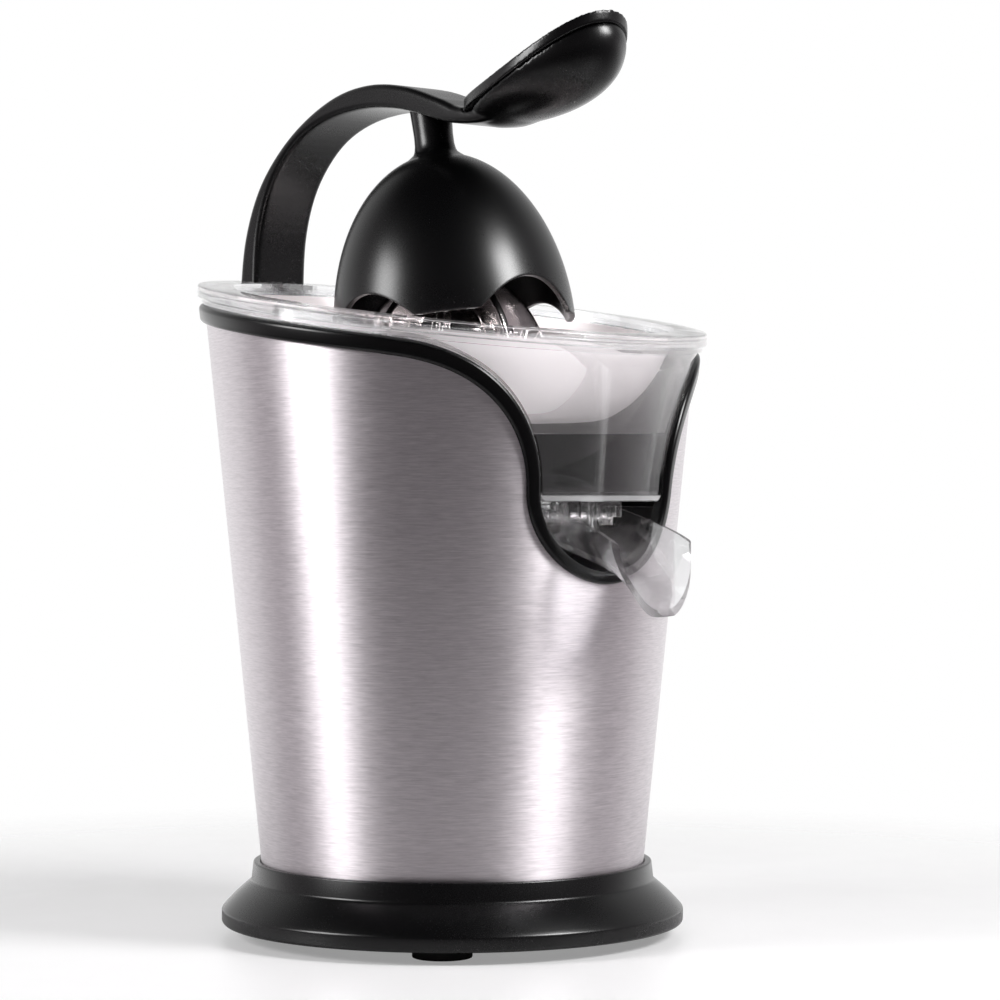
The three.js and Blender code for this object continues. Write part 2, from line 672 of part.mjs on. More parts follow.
// Draws a bowl-like solid up towards the rear: heights above the level part lean with the rim.
function drawnUp(part, levelZ, rimZ) {
  return part.warp((vertex) => {
    const share = THREE.MathUtils.clamp((vertex[2] - levelZ) / (rimZ - levelZ), 0, 1);
    vertex[2] += RIM_SLOPE * vertex[1] * share;
  });
}

// Half section of the bowl: level floor, rounded corner, wall flaring up to the given height.
function bowlProfile(footRadius, bottom, corner, top) {
  const flare = (BOWL_MOUTH_RADIUS - BOWL_FOOT_RADIUS) / (RIM_TOP - BOWL_FLOOR_Z);
  const lean = Math.atan(flare);
  const points = [[0, bottom]];
  const arcSteps = 3;
  for (let i = 0; i <= arcSteps; i += 1) {
    const angle = (i / arcSteps) * (Math.PI / 2 - lean);
    points.push([
      footRadius - corner * (1 - Math.sin(angle)),
      bottom + corner * (1 - Math.cos(angle)),
    ]);
  }
  points.push([footRadius + flare * (top - BOWL_FLOOR_Z), top]);
  points.push([0, top]);
  return points;
}

const BOWL_INSIDE_Z = BOWL_FLOOR_Z + BOWL_FLOOR_THICKNESS;

// The bay that fills the notch of the body, flush with the steel.
function bay(inset, bottom, ceiling) {
  const outline = notchShape(TRIM_NOTCH_RADIUS - GAP - inset, TRIM_TOP + GAP + inset);
  return overlap(
    coneSolid(-inset, bottom, RIM_TOP),
    underPlane(ceiling),
    towardsFront(outline, BAY_BACK, AHEAD, NOTCH_FACETS),
  );
}

function juiceBowl() {
  const levelZ = BOWL_FLOOR_Z + BOWL_CORNER;
  const outside = drawnUp(
    turned(bowlProfile(BOWL_FOOT_RADIUS, BOWL_FLOOR_Z, BOWL_CORNER, RIM_TOP), FINE),
    levelZ, RIM_TOP);
  const inside = drawnUp(
    turned(
      bowlProfile(BOWL_FOOT_RADIUS - BOWL_WALL, BOWL_INSIDE_Z, BOWL_CORNER - 2, RIM_TOP + RIM_LIP),
      FINE),
    levelZ, RIM_TOP);
  const rim = tilted(
    turned(
      [
        [BOWL_MOUTH_RADIUS - 1, RIM_TOP - RIM_PLATE],
        [RIM_SKIRT_RADIUS - RIM_SKIRT_WALL, RIM_TOP - RIM_PLATE],
        [RIM_SKIRT_RADIUS - RIM_SKIRT_WALL, TRIM_TOP + GAP],
        [RIM_SKIRT_RADIUS, TRIM_TOP + GAP],
        [RIM_SKIRT_RADIUS, RIM_TOP - RIM_LIP],
        [RIM_RADIUS, RIM_TOP - RIM_LIP],
        [RIM_RADIUS, RIM_TOP],
        [BOWL_MOUTH_RADIUS - 1, RIM_TOP],
      ],
      FINE,
    ),
  );
  const outletBlock = block(
    [-OUTLET_HALF_WIDTH, OUTLET_HALF_WIDTH],
    [-OUTLET_FRONT, -OUTLET_BACK],
    [OUTLET_UNDERSIDE, BOWL_FLOOR_Z + 1],
  );
  const nozzle = rod(OUTLET_NOZZLE_RADIUS, OUTLET_NOZZLE_END, BOWL_FLOOR_Z + 1, 20);
  const drain = rod(OUTLET_BORE, OUTLET_NOZZLE_END - 1, BOWL_INSIDE_Z + 1, 20);
  const walls = join(
    outside,
    bay(0, BOWL_FLOOR_Z, RIM_TOP - RIM_PLATE / 2),
    rim,
    outletBlock,
    nozzle.translate([0, -OUTLET_BORE_Y, 0]),
  );
  const hollow = join(inside, bay(BOWL_WALL, BOWL_INSIDE_Z, RIM_TOP - RIM_PLATE));
  const chimney = rod(CHIMNEY_BORE + CHIMNEY_WALL, BOWL_FLOOR_Z, CHIMNEY_TOP, 24);
  return cut(
    join(cut(walls, hollow), chimney),
    rod(CHIMNEY_BORE, OUTLET_NOZZLE_END, CHIMNEY_TOP + 1, 24),
    drain.translate([0, -OUTLET_BORE_Y, 0]),
    rodAcrossX(SPOUT_PIN_RADIUS + GAP, SIDE_REACH, -SPOUT_PIN_Y, SPOUT_PIN_Z, 12),
  );
}

// ---------------------------------------------------------------- spout

// The trough's underside runs down to the front and turns over at the lip. Its points are given
// from the pin: forward, and down.
function spoutPath() {
  const underside = [[-7, 9.8], [12, 14.4], [31, 20], [43, 25.8], [51.5, 34]];
  return new THREE.CatmullRomCurve3(underside.map(([forward, down]) =>
    new THREE.Vector3(0, -SPOUT_PIN_Y - forward, SPOUT_PIN_Z - down)));
}

// One side of the trough's section, a squared half ellipse open upwards.
function troughArc(halfWidth, depth, leftwards) {
  const facets = 8;
  const points = [];
  for (let i = 0; i <= facets; i += 1) {
    const angle = Math.PI * (leftwards ? i / facets : 1 - i / facets);
    const [side, drop] = [Math.cos(angle), Math.sin(angle)];
    points.push([
      halfWidth * Math.sign(side) * Math.abs(side) ** SPOUT_FULLNESS,
      SPOUT_DEPTH - depth * drop ** SPOUT_FULLNESS,
    ]);
  }
  return points;
}

// Everything in front of the leaning plane in which the lip ends.
function beforeLip() {
  const [lipY, lipZ] = [-SPOUT_PIN_Y - SPOUT_LIP_REACH, SPOUT_PIN_Z - SPOUT_LIP_FALL];
  const reach = 2 * SPOUT_LIP_REACH;
  const shape = new THREE.Shape();
  shape.moveTo(lipY + SPOUT_LIP_LEAN * reach, lipZ + reach);
  shape.lineTo(-HUGE, lipZ + reach);
  shape.lineTo(-HUGE, lipZ - reach);
  shape.lineTo(lipY - SPOUT_LIP_LEAN * reach, lipZ - reach);
  shape.closePath();
  return acrossX(shape, 4 * SPOUT_HALF_WIDTH);
}

function spout() {
  const section = [
    ...troughArc(SPOUT_HALF_WIDTH, SPOUT_DEPTH, true),
    ...troughArc(SPOUT_HALF_WIDTH - SPOUT_WALL, SPOUT_DEPTH - SPOUT_WALL, false),
  ];
  // The sweep lays the outline's y axis across the trough and its x axis down into it.
  const shape = new THREE.Shape(section.map(([across, up]) => new THREE.Vector2(across, -up)));
  const trough = solid(
    new THREE.ExtrudeGeometry(shape, { steps: 9, extrudePath: spoutPath(), curveSegments: 1 }),
  );
  const waisted = trough.warp((vertex) => {
    const forward = -vertex[1] - SPOUT_PIN_Y;
    const share = THREE.MathUtils.smoothstep(forward, SPOUT_WAIST_START, SPOUT_LIP_REACH);
    vertex[0] *= SPOUT_REAR_SHARE + (1 - SPOUT_REAR_SHARE) * share;
  });
  return cut(
    waisted,
    block([-HUGE, HUGE], [-HUGE, 0], [SPOUT_TOP_LIMIT, HUGE]),
    beforeLip(),
    rodAcrossX(SPOUT_PIN_RADIUS + GAP, SIDE_REACH, -SPOUT_PIN_Y, SPOUT_PIN_Z, 12),
  );
}

const spoutPin = () =>
  rodAcrossX(SPOUT_PIN_RADIUS, SPOUT_REAR_SHARE * SPOUT_HALF_WIDTH + 1, -SPOUT_PIN_Y, SPOUT_PIN_Z, 12);

// ---------------------------------------------------------------- strainer

function strainer() {
  const bottom = CHIMNEY_TOP + GAP;
  const sheet = STRAINER_SHEET;
  const shoulder = STRAINER_FLOOR_RADIUS + STRAINER_SHOULDER;
  const heelZ = bottom + STRAINER_HEEL_RISE;
  const edgeZ = RIM_TOP - STRAINER_DROP;
  const edgeRadius = BOWL_MOUTH_RADIUS - BOWL_WALL - 3 * GAP;
  const dish = drawnUp(
    turned(
      [
        [STRAINER_HOLE, bottom],
        [STRAINER_FLOOR_RADIUS, bottom],
        [shoulder, bottom + STRAINER_SHOULDER_RISE],
        [STRAINER_HEEL_RADIUS, heelZ],
        [edgeRadius, edgeZ],
        [edgeRadius - sheet, edgeZ],
        [STRAINER_HEEL_RADIUS - 0.8 * sheet, heelZ + 0.6 * sheet],
        [shoulder - 0.4 * sheet, bottom + STRAINER_SHOULDER_RISE + sheet],
        [STRAINER_FLOOR_RADIUS, bottom + sheet],
        [STRAINER_HOLE, bottom + sheet],
      ],
      FINE,
    ),
    heelZ, edgeZ);
  const slots = [];
  for (const { radius, length, count } of SLOT_RINGS) {
    for (let i = 0; i < count; i += 1) {
      const slot = block(
        [radius - length / 2, radius + length / 2],
        [-SLOT_WIDTH / 2, SLOT_WIDTH / 2],
        [bottom - 1, bottom + 3],
      );
      slots.push(slot.rotate([0, 0, (360 * i) / count]));
    }
  }
  return cut(dish, ...slots);
}

// ---------------------------------------------------------------- reamer and shaft

function crownProfile(radius, spring, crown, steps) {
  const points = [];
  for (let i = 0; i < steps; i += 1) {
    const angle = (i / steps) * (Math.PI / 2);
    points.push([radius * Math.cos(angle), spring + crown * Math.sin(angle)]);
  }
  points.push([0, spring + crown]);
  return points;
}

const HUB_BOTTOM = REAMER_FOOT + REAMER_HUB_RECESS;

function reamer() {
  const core = REAMER_RADIUS - REAMER_RIB_DEPTH;
  const coreCrown = REAMER_CROWN - REAMER_RIB_DEPTH;
  const outside = turned(
    [[0, REAMER_FOOT], [REAMER_RADIUS, REAMER_FOOT], [REAMER_RADIUS, REAMER_FOOT + REAMER_LIP],
      [core, REAMER_FOOT + 2 * REAMER_LIP], ...crownProfile(core, REAMER_SPRING_Z, coreCrown, 5)],
    20);
  const envelope = turned(
    [[0, REAMER_FOOT], [REAMER_RADIUS, REAMER_FOOT],
      ...crownProfile(REAMER_RADIUS, REAMER_SPRING_Z, REAMER_CROWN, 6)],
    16);
  const hollow = turned(
    [[0, REAMER_FOOT - 1], [core - REAMER_WALL, REAMER_FOOT - 1],
      ...crownProfile(core - REAMER_WALL, REAMER_SPRING_Z, coreCrown - REAMER_TIP, 4)],
    16);
  const ribs = [];
  for (let i = 0; i < REAMER_RIBS; i += 1) {
    const blade = block(
      [0, REAMER_RADIUS + 1],
      [-REAMER_RIB_WIDTH / 2, REAMER_RIB_WIDTH / 2],
      [REAMER_FOOT, REAMER_SPRING_Z + REAMER_CROWN],
    );
    ribs.push(blade.rotate([0, 0, REAMER_TURN + (360 * i) / REAMER_RIBS]));
  }
  const ribbed = overlap(join(...ribs), envelope);
  const hub = rod(REAMER_HUB_RADIUS, HUB_BOTTOM, REAMER_SPRING_Z + coreCrown - REAMER_TIP + 2, 16);
  return cut(
    join(cut(join(outside, ribbed), hollow), hub),
    rod(SHAFT_RADIUS + GAP, HUB_BOTTOM - 2, SHAFT_TOP + GAP, COARSE),
  );
}

const THRUST_TOP = THRUST_BOTTOM + THRUST_THICKNESS;
const HEX_BOTTOM = OUTPUT_GEAR_Z + PRESS_TRAVEL;
const HEX_TOP = IDLER_WHEEL_Z - 1;

const driveShaft = () =>
  join(
    rod(SHAFT_RADIUS, THRUST_TOP + GAP, SHAFT_TOP),
    rod(SHAFT_HEX_RADIUS, HEX_BOTTOM, HEX_TOP, 6).rotate([0, 0, 30]),
  );

// ---------------------------------------------------------------- pressing dome

// Moves a piece drawn about its own vertical axis to the dome's place on the raised lever.
const leaned = (part) =>
  part.rotate([-THREE.MathUtils.radToDeg(DOME_LEAN), 0, 0]).translate([0, DOME_CENTRE_Y, DOME_CENTRE_Z]);

function archShape() {
  const shape = new THREE.Shape();
  shape.moveTo(-ARCH_HALF_WIDTH, -1);
  shape.lineTo(-ARCH_HALF_WIDTH, 0);
  shape.quadraticCurveTo(0, 2 * ARCH_HEIGHT, ARCH_HALF_WIDTH, 0);
  shape.lineTo(ARCH_HALF_WIDTH, -1);
  shape.closePath();
  return shape;
}

function domeBody() {
  const inner = DOME_RADIUS - DOME_WALL;
  const outside = turned([[0, 0], ...crownProfile(DOME_RADIUS, 0, DOME_CROWN, 7)], 36);
  const hollow = turned(
    [[0, -1], [inner, -1], ...crownProfile(inner, 0, DOME_CROWN - DOME_WALL, 5)], 24);
  const inside = cut(hollow, rod(DOME_BOSS_RADIUS, DOME_SCREW_SEAT, DOME_CROWN, 16));
  const arch = towardsFront(archShape(), -60, 60, 8);
  return cut(
    join(outside, rod(NECK_RADIUS, DOME_CROWN - 6, NECK_TOP, 20)),
    inside,
    arch,
    arch.rotate([0, 0, 90]),
    rod(SCREW_RADIUS + GAP, DOME_SCREW_SEAT - 1, NECK_TOP + 1, 12),
  );
}

// ---------------------------------------------------------------- lever

const PADDLE_LENGTH = PADDLE_TIP - PADDLE_REAR;

// The line of the paddle's rim, from its rear to its tip, as the start or end of a side outline.
function alongPaddle(shape, rise) {
  const controlZ = PADDLE_REAR_Z + (PADDLE_REAR_SLOPE * PADDLE_LENGTH) / 2;
  const controlY = -(PADDLE_REAR + PADDLE_TIP) / 2;
  shape.lineTo(-PADDLE_REAR, PADDLE_REAR_Z + rise);
  shape.quadraticCurveTo(controlY, controlZ + rise, -PADDLE_TIP, PADDLE_TIP_Z + rise);
}

function abovePaddleLine(rise) {
  const shape = new THREE.Shape();
  shape.moveTo(-PADDLE_REAR + 4, OVERHEAD + 1);
  shape.lineTo(-PADDLE_REAR + 4, PADDLE_REAR_Z + rise - 4 * PADDLE_REAR_SLOPE);
  alongPaddle(shape, rise);
  shape.lineTo(-PADDLE_TIP - 4, PADDLE_TIP_Z + rise + 2);
  shape.lineTo(-PADDLE_TIP - 4, OVERHEAD + 1);
  shape.closePath();
  return acrossX(shape, 5 * PADDLE_HALF_WIDTH, 8);
}

function paddlePlan(grow) {
  const half = PADDLE_HALF_WIDTH + grow;
  const rear = PADDLE_REAR_HALF_WIDTH + grow;
  const rearY = -PADDLE_REAR + grow;
  const tipY = -PADDLE_TIP - grow;
  const shape = new THREE.Shape();
  shape.moveTo(-rear, rearY);
  shape.lineTo(rear, rearY);
  shape.bezierCurveTo(rear + 8, rearY - 4, half, -PADDLE_WIDEST + 15, half, -PADDLE_WIDEST);
  shape.bezierCurveTo(half, -PADDLE_WIDEST - 20, half * 0.6, tipY, 0, tipY);
  shape.bezierCurveTo(-half * 0.6, tipY, -half, -PADDLE_WIDEST - 20, -half, -PADDLE_WIDEST);
  shape.bezierCurveTo(-half, -PADDLE_WIDEST + 15, -rear - 8, rearY - 4, -rear, rearY);
  return raised(shape, PADDLE_REAR_Z - 2 * PADDLE_DEPTH, OVERHEAD, 7);
}

// Carries an outline along a smooth line through the given places.
function smoothLine(shape, places, steps) {
  const line = new THREE.SplineCurve(places.map(([x, y]) => new THREE.Vector2(x, y)));
  line.getSpacedPoints(steps).forEach((point) => shape.lineTo(point.x, point.y));
}

// A place on the arm, in hundredths of the way from the hinge to the paddle's rear: forward, up.
const onArm = ([forward, up]) => [
  HINGE_Y - (forward / 100) * (HINGE_Y + PADDLE_REAR),
  HINGE_Z + (up / 100) * (PADDLE_REAR_Z - HINGE_Z),
];

function armShape() {
  const shape = new THREE.Shape();
  const rootTop = HINGE_Z + KNUCKLE_RADIUS;
  const arch = [
    [-4.44, 28.37], [-1.93, 52.01], [4.44, 74.47], [14.44, 92.2], [27.41, 106.38],
    [42.96, 116.43], [58.52, 119.39], [74.07, 116.19], [88.89, 108.75], [100.74, 102.84],
  ];
  const keelTop = 120.57;
  const keelFoot = 109.93;
  const underside = [
    [129.63, 105.2], [122.22, 99.53], [113.33, 96.1], [104.44, 94.8], [92.59, 96.81],
    [79.26, 102.84], [67.41, 106.74], [54.07, 108.16], [39.26, 105.56], [26.67, 98.7],
    [17.04, 87.47], [9.63, 72.1], [5.19, 52.01], [3.85, 28.37],
  ];
  const rootHalf = KNUCKLE_RADIUS - 1.5;
  const keelAt = (up) => [-KEEL_TIP, onArm([0, up])[1]];
  shape.moveTo(HINGE_Y + rootHalf, HINGE_Z - 2);
  smoothLine(shape, [[HINGE_Y + KNUCKLE_RADIUS, rootTop], ...arch.map(onArm)], 16);
  shape.lineTo(...keelAt(keelTop));
  smoothLine(
    shape,
    [keelAt(keelFoot), ...underside.map(onArm), [HINGE_Y - KNUCKLE_RADIUS + 0.6, rootTop]],
    18);
  shape.lineTo(HINGE_Y - rootHalf, HINGE_Z - 2);
  shape.closePath();
  return shape;
}

// The arm with its edges rounded off: the outline is drawn in by the rounding and grown back.
function armSolid() {
  const options = {
    depth: ARM_WIDTH - 2 * ARM_ROUND,
    curveSegments: 4,
    bevelEnabled: true,
    bevelThickness: ARM_ROUND,
    bevelSize: ARM_ROUND,
    bevelOffset: -ARM_ROUND,
    bevelSegments: 1,
  };
  const turn = new THREE.Matrix4().makeBasis(Y, Z, X);
  const geometry = new THREE.ExtrudeGeometry(armShape(), options).applyMatrix4(turn);
  const arm = solid(geometry.translate(-ARM_WIDTH / 2 + ARM_ROUND, 0, 0));
  const half = ARM_WIDTH / 2;
  const plan = new THREE.Shape();
  const behind = HINGE_Y + SIDE_REACH;
  const sweep = PADDLE_REAR + KEEL_SWEEP;
  plan.moveTo(-half, behind);
  plan.lineTo(-half, -PADDLE_REAR);
  plan.bezierCurveTo(-half, -sweep, -KEEL_NOSE, -KEEL_TIP, 0, -KEEL_TIP);
  plan.bezierCurveTo(KEEL_NOSE, -KEEL_TIP, half, -sweep, half, -PADDLE_REAR);
  plan.lineTo(half, behind);
  plan.closePath();
  return overlap(arm, raised(plan, HINGE_Z - SIDE_REACH, OVERHEAD, 5));
}

function paddleShell() {
  const tilt = Math.atan2(PADDLE_TIP_Z - PADDLE_REAR_Z, PADDLE_LENGTH);
  const spoon = new THREE.SphereGeometry(1, 18, 10);
  spoon.scale(PADDLE_HALF_WIDTH, PADDLE_LENGTH / 2 / Math.cos(tilt), PADDLE_DEPTH);
  spoon.rotateX(-tilt);
  const middleZ = (PADDLE_REAR_Z + PADDLE_TIP_Z) / 2;
  spoon.translate(0, -(PADDLE_REAR + PADDLE_TIP) / 2, middleZ - PADDLE_SINK);
  return solid(spoon);
}

const armBlank = () =>
  join(armSolid(), paddleShell(), rodAcrossX(KNUCKLE_RADIUS, ARM_WIDTH / 2, HINGE_Y, HINGE_Z, 20));

function leverArm(blank) {
  const padSeat = overlap(paddlePlan(GAP), abovePaddleLine(0));
  const bushReach = ARM_WIDTH / 2 - HINGE_BUSH_LENGTH / 2;
  const bushSeats = [-1, 1].map((side) =>
    rodAcrossX(HINGE_BUSH_RADIUS + GAP, HINGE_BUSH_LENGTH / 2 + GAP, HINGE_Y, HINGE_Z, 16)
      .translate([side * bushReach, 0, 0]));
  const screwHole = rod(SCREW_RADIUS + GAP, DOME_CROWN, DOME_SCREW_TIP + 2, 12);
  return cut(
    blank,
    padSeat,
    rodAcrossX(HINGE_PIN_RADIUS + GAP, SIDE_REACH, HINGE_Y, HINGE_Z, 16),
    ...bushSeats,
    leaned(screwHole),
  );
}

const domeScrew = () => leaned(screw(DOME_SCREW_SEAT - GAP, DOME_SCREW_TIP));

const handlePad = () =>
  cut(overlap(paddlePlan(0), abovePaddleLine(GAP)), abovePaddleLine(GAP + PAD_THICKNESS));

const pressingDome = (blank) => cut(leaned(domeBody()), blank.translate([0, 0, -GAP]));

// ---------------------------------------------------------------- rear hinge

const CHEEK_INNER = ARM_WIDTH / 2 + CHEEK_GAP;
const BRACKET_HALF_WIDTH = CHEEK_INNER + CHEEK_THICKNESS;

// Distance of a bracket screw's head seat from the body's axis.
const bracketScrewSeat = (z) => shellRadius(z) + BRACKET_PLATE - BRACKET_SCREW_RECESS;

function hingeBracket() {
  const shape = new THREE.Shape();
  const topZ = HINGE_Z + KNUCKLE_RADIUS;
  const slotBack = HINGE_Y - HINGE_SLOT_BACK;
  const outerY = HINGE_Y + KNUCKLE_RADIUS;
  shape.moveTo(BRACKET_BACK, BRACKET_FOOT_Z);
  shape.lineTo(shellRadius(BRACKET_FOOT_Z) + BRACKET_PLATE, BRACKET_FOOT_Z);
  shape.quadraticCurveTo(slotBack, HINGE_Z - 30, outerY - 1, HINGE_Z - 8);
  shape.lineTo(outerY, HINGE_Z);
  shape.absarc(HINGE_Y, HINGE_Z, KNUCKLE_RADIUS, 0, Math.PI / 2, false);
  shape.lineTo(BRACKET_BACK, topZ);
  shape.closePath();
  const slotFloor = HINGE_Z - KNUCKLE_RADIUS - 1;
  const slot = block([-CHEEK_INNER, CHEEK_INNER], [slotBack, outerY + 1], [slotFloor, topZ + 1]);
  const shellSide = coneSolid(GAP, BRACKET_FOOT_Z - 10, topZ + 2);
  const headRecesses = BRACKET_SCREWS.map((z) =>
    rod(SCREW_HEAD_RADIUS + GAP, bracketScrewSeat(z), AHEAD, 16)
      .rotate([-90, 0, 0])
      .translate([0, 0, z]));
  return cut(
    acrossX(shape, 2 * BRACKET_HALF_WIDTH, 6),
    shellSide,
    slot,
    rodAcrossX(HINGE_PIN_RADIUS + GAP, SIDE_REACH, HINGE_Y, HINGE_Z, 16),
    ...headRecesses,
    ...bracketScrewHoles(SCREW_RADIUS + GAP),
  );
}

function bracketScrew(z) {
  const seat = bracketScrewSeat(z) + GAP;
  const tip = shellRadius(z) + HOUSING_INNER + SCREW_RADIUS;
  return screw(0, seat - tip).rotate([90, 0, 0]).translate([0, seat, z]);
}

const hingePin = () =>
  rodAcrossX(HINGE_PIN_RADIUS, BRACKET_HALF_WIDTH, HINGE_Y, HINGE_Z, 16);

const hingeBush = (side) =>
  ring(
    HINGE_PIN_RADIUS + GAP, HINGE_BUSH_RADIUS, HINGE_BUSH_LENGTH / 2,
    side * (ARM_WIDTH / 2 - HINGE_BUSH_LENGTH / 2), HINGE_Y, HINGE_Z);

// ---------------------------------------------------------------- gear train

const STAGE_DISTANCE = (GEAR_MODULE * (WHEEL_TEETH + PINION_TEETH)) / 2;
const IDLER_Y = MOTOR_Y / 2;
const IDLER_X = Math.sqrt(STAGE_DISTANCE ** 2 - IDLER_Y ** 2);

// A spur gear's outline. A tooth points along +X when the turn is zero.
function gearShape(teeth, turn, bore, boreFacets) {
  const pitchRadius = (GEAR_MODULE * teeth) / 2;
  const tip = pitchRadius + GEAR_MODULE - GAP;
  const root = pitchRadius - ROOT_DEPTH * GEAR_MODULE;
  const pitchAngle = (2 * Math.PI) / teeth;
  const halfAtPitch = pitchAngle / 4 - TOOTH_BACKLASH / 2 / pitchRadius;
  const spread = (Math.tan(PRESSURE_ANGLE) * GEAR_MODULE) / pitchRadius;
  const shape = new THREE.Shape();
  for (let i = 0; i < teeth; i += 1) {
    const middle = turn + i * pitchAngle;
    const corners = [
      [root, middle - halfAtPitch - spread],
      [tip, middle - halfAtPitch + spread],
      [tip, middle + halfAtPitch - spread],
      [root, middle + halfAtPitch + spread],
    ];
    corners.forEach(([radius, angle], corner) => {
      const place = [radius * Math.cos(angle), radius * Math.sin(angle)];
      if (i === 0 && corner === 0) {
        shape.moveTo(...place);
      } else {
        shape.lineTo(...place);
      }
    });
  }
  shape.closePath();
  if (bore > 0) {
    const hole = new THREE.Path();
    for (let i = 0; i <= boreFacets; i += 1) {
      const angle = -(2 * Math.PI * i) / boreFacets;
      const place = [bore * Math.cos(angle), bore * Math.sin(angle)];
      if (i === 0) {
        hole.moveTo(...place);
      } else {
        hole.lineTo(...place);
      }
    }
    shape.holes.push(hole);
  }
  return shape;
}

const idlerToOutput = Math.atan2(-IDLER_Y, -IDLER_X);
const motorToIdler = Math.atan2(IDLER_Y - MOTOR_Y, IDLER_X);

const outputGear = () =>
  raised(
    gearShape(WHEEL_TEETH, idlerToOutput + Math.PI, SHAFT_HEX_RADIUS + GAP, 6),
    OUTPUT_GEAR_Z, OUTPUT_GEAR_Z + OUTPUT_GEAR_THICKNESS);

function idlerGear() {
  const pinionTurn = idlerToOutput + Math.PI / PINION_TEETH;
  const wheelTurn = motorToIdler + Math.PI;
  const pinion = raised(
    gearShape(PINION_TEETH, pinionTurn, IDLER_AXLE_RADIUS + GAP, 12),
    OUTPUT_GEAR_Z - GEAR_LAND, IDLER_WHEEL_Z + GEAR_LAND);
  const wheel = raised(
    gearShape(WHEEL_TEETH, wheelTurn, IDLER_AXLE_RADIUS + GAP, 12),
    IDLER_WHEEL_Z, IDLER_WHEEL_Z + IDLER_WHEEL_THICKNESS);
  return join(pinion, wheel);
}

const idlerAxle = () =>
  rod(IDLER_AXLE_RADIUS, GEARBOX_FLOOR + GEARBOX_WALL + GAP, GEARBOX_TOP - GAP, 12);

function gearboxCase() {
  const outside = rod(GEARBOX_RADIUS, GEARBOX_FLOOR, GEARBOX_TOP - GAP, 28);
  const inside = rod(GEARBOX_RADIUS - GEARBOX_WALL, GEARBOX_FLOOR + GEARBOX_WALL, GEARBOX_TOP + 1, 28);
  const bosses = gearboxScrewPlaces.map(([x, y]) =>
    rod(TOWER_RADIUS, GEARBOX_FLOOR + 1, GEARBOX_TOP - GAP, 12)
      .translate([x - GEARBOX_X, y - GEARBOX_Y, 0]));
  const can = join(cut(outside, inside), ...bosses).translate([GEARBOX_X, GEARBOX_Y, 0]);
  return cut(
    can,
    ...gearboxScrewPlaces.map(([x, y]) =>
      rod(SCREW_RADIUS + GAP, GEARBOX_FLOOR - 1, GEARBOX_TOP + 1, 12).translate([x, y, 0])),
    rod(BUSH_RADIUS + GAP, GEARBOX_FLOOR - 1, GEARBOX_TOP, 18),
    rod(PINION_HOLE, GEARBOX_FLOOR - 1, GEARBOX_TOP, 18).translate([0, MOTOR_Y, 0]),
  );
}

function gearboxCover() {
  const top = GEARBOX_TOP + GEARBOX_COVER;
  return cut(
    rod(GEARBOX_RADIUS, GEARBOX_TOP, top, 28).translate([GEARBOX_X, GEARBOX_Y, 0]),
    rod(SHAFT_RADIUS + 2 * GAP, GEARBOX_TOP - 1, top + 1),
    ...gearboxScrewPlaces.map(([x, y]) =>
      rod(SCREW_RADIUS + GAP, GEARBOX_TOP - 1, top + 1, 12).translate([x, y, 0])),
  );
}

const gearboxScrew = () => screw(GEARBOX_FLOOR - GAP, GEARBOX_TOP + GEARBOX_SCREW_BITE);

const lowerBush = () =>
  tube(SHAFT_RADIUS + GAP, BUSH_RADIUS, GEARBOX_FLOOR, OUTPUT_GEAR_Z - GAP);

function upperBush() {
  const bottom = TURRET_FOOT + UPPER_BUSH_INSET;
  return tube(SHAFT_RADIUS + GAP, TURRET_BORE - GAP, bottom, bottom + UPPER_BUSH_LENGTH);
}

const shaftSeal = () =>
  turned([
    [SHAFT_RADIUS + GAP, TURRET_TOP - SEAL_DEPTH],
    [TURRET_BORE - GAP, TURRET_TOP - SEAL_DEPTH],
    [TURRET_BORE - GAP, TURRET_TOP + GAP],
    [TURRET_RADIUS - SEAL_INSET, TURRET_TOP + GAP],
    [TURRET_RADIUS - SEAL_INSET, TURRET_TOP + SEAL_FLANGE],
    [SHAFT_RADIUS + GAP, TURRET_TOP + SEAL_LIP],
  ]);

// ---------------------------------------------------------------- motor

function roundedSquare(half, corner) {
  const shape = new THREE.Shape();
  const inset = half - corner;
  shape.absarc(inset, inset, corner, 0, Math.PI / 2, false);
  shape.absarc(-inset, inset, corner, Math.PI / 2, Math.PI, false);
  shape.absarc(-inset, -inset, corner, Math.PI, 1.5 * Math.PI, false);
  shape.absarc(inset, -inset, corner, 1.5 * Math.PI, 2 * Math.PI, false);
  shape.closePath();
  return shape;
}

const motorScrewPlaces = [-1, 1].map((side) => [side * MOTOR_SCREW_OFFSET, side * MOTOR_SCREW_OFFSET]);

const motorScrewHoles = (bottom, top) =>
  motorScrewPlaces.map(([x, y]) => rod(SCREW_RADIUS + GAP, bottom, top, 12).translate([x, y, 0]));

const COIL_INNER = ROTOR_RADIUS + ROTOR_AIR_GAP + COIL_INSET;
const COIL_OUTER = COIL_INNER + COIL_WIDTH;

// Laminated stack with a winding slot round its bore.
function motorStator() {
  const stack = raised(roundedSquare(STATOR_HALF_WIDTH, STATOR_CORNER), STATOR_BOTTOM, STATOR_TOP, 3);
  return cut(
    stack,
    rod(ROTOR_RADIUS + ROTOR_AIR_GAP, STATOR_BOTTOM - 1, STATOR_TOP + 1, 20),
    tube(COIL_INNER - GAP, COIL_OUTER + GAP, STATOR_TOP - COIL_DEPTH, STATOR_TOP + 1, 20),
    tube(COIL_INNER - GAP, COIL_OUTER + GAP, STATOR_BOTTOM - 1, STATOR_BOTTOM + COIL_DEPTH, 20),
    ...motorScrewHoles(STATOR_BOTTOM - 1, STATOR_TOP + 1),
  );
}

const upperCoil = () =>
  tube(COIL_INNER, COIL_OUTER, STATOR_TOP - COIL_DEPTH + GAP, STATOR_TOP - COIL_RECESS, 20);

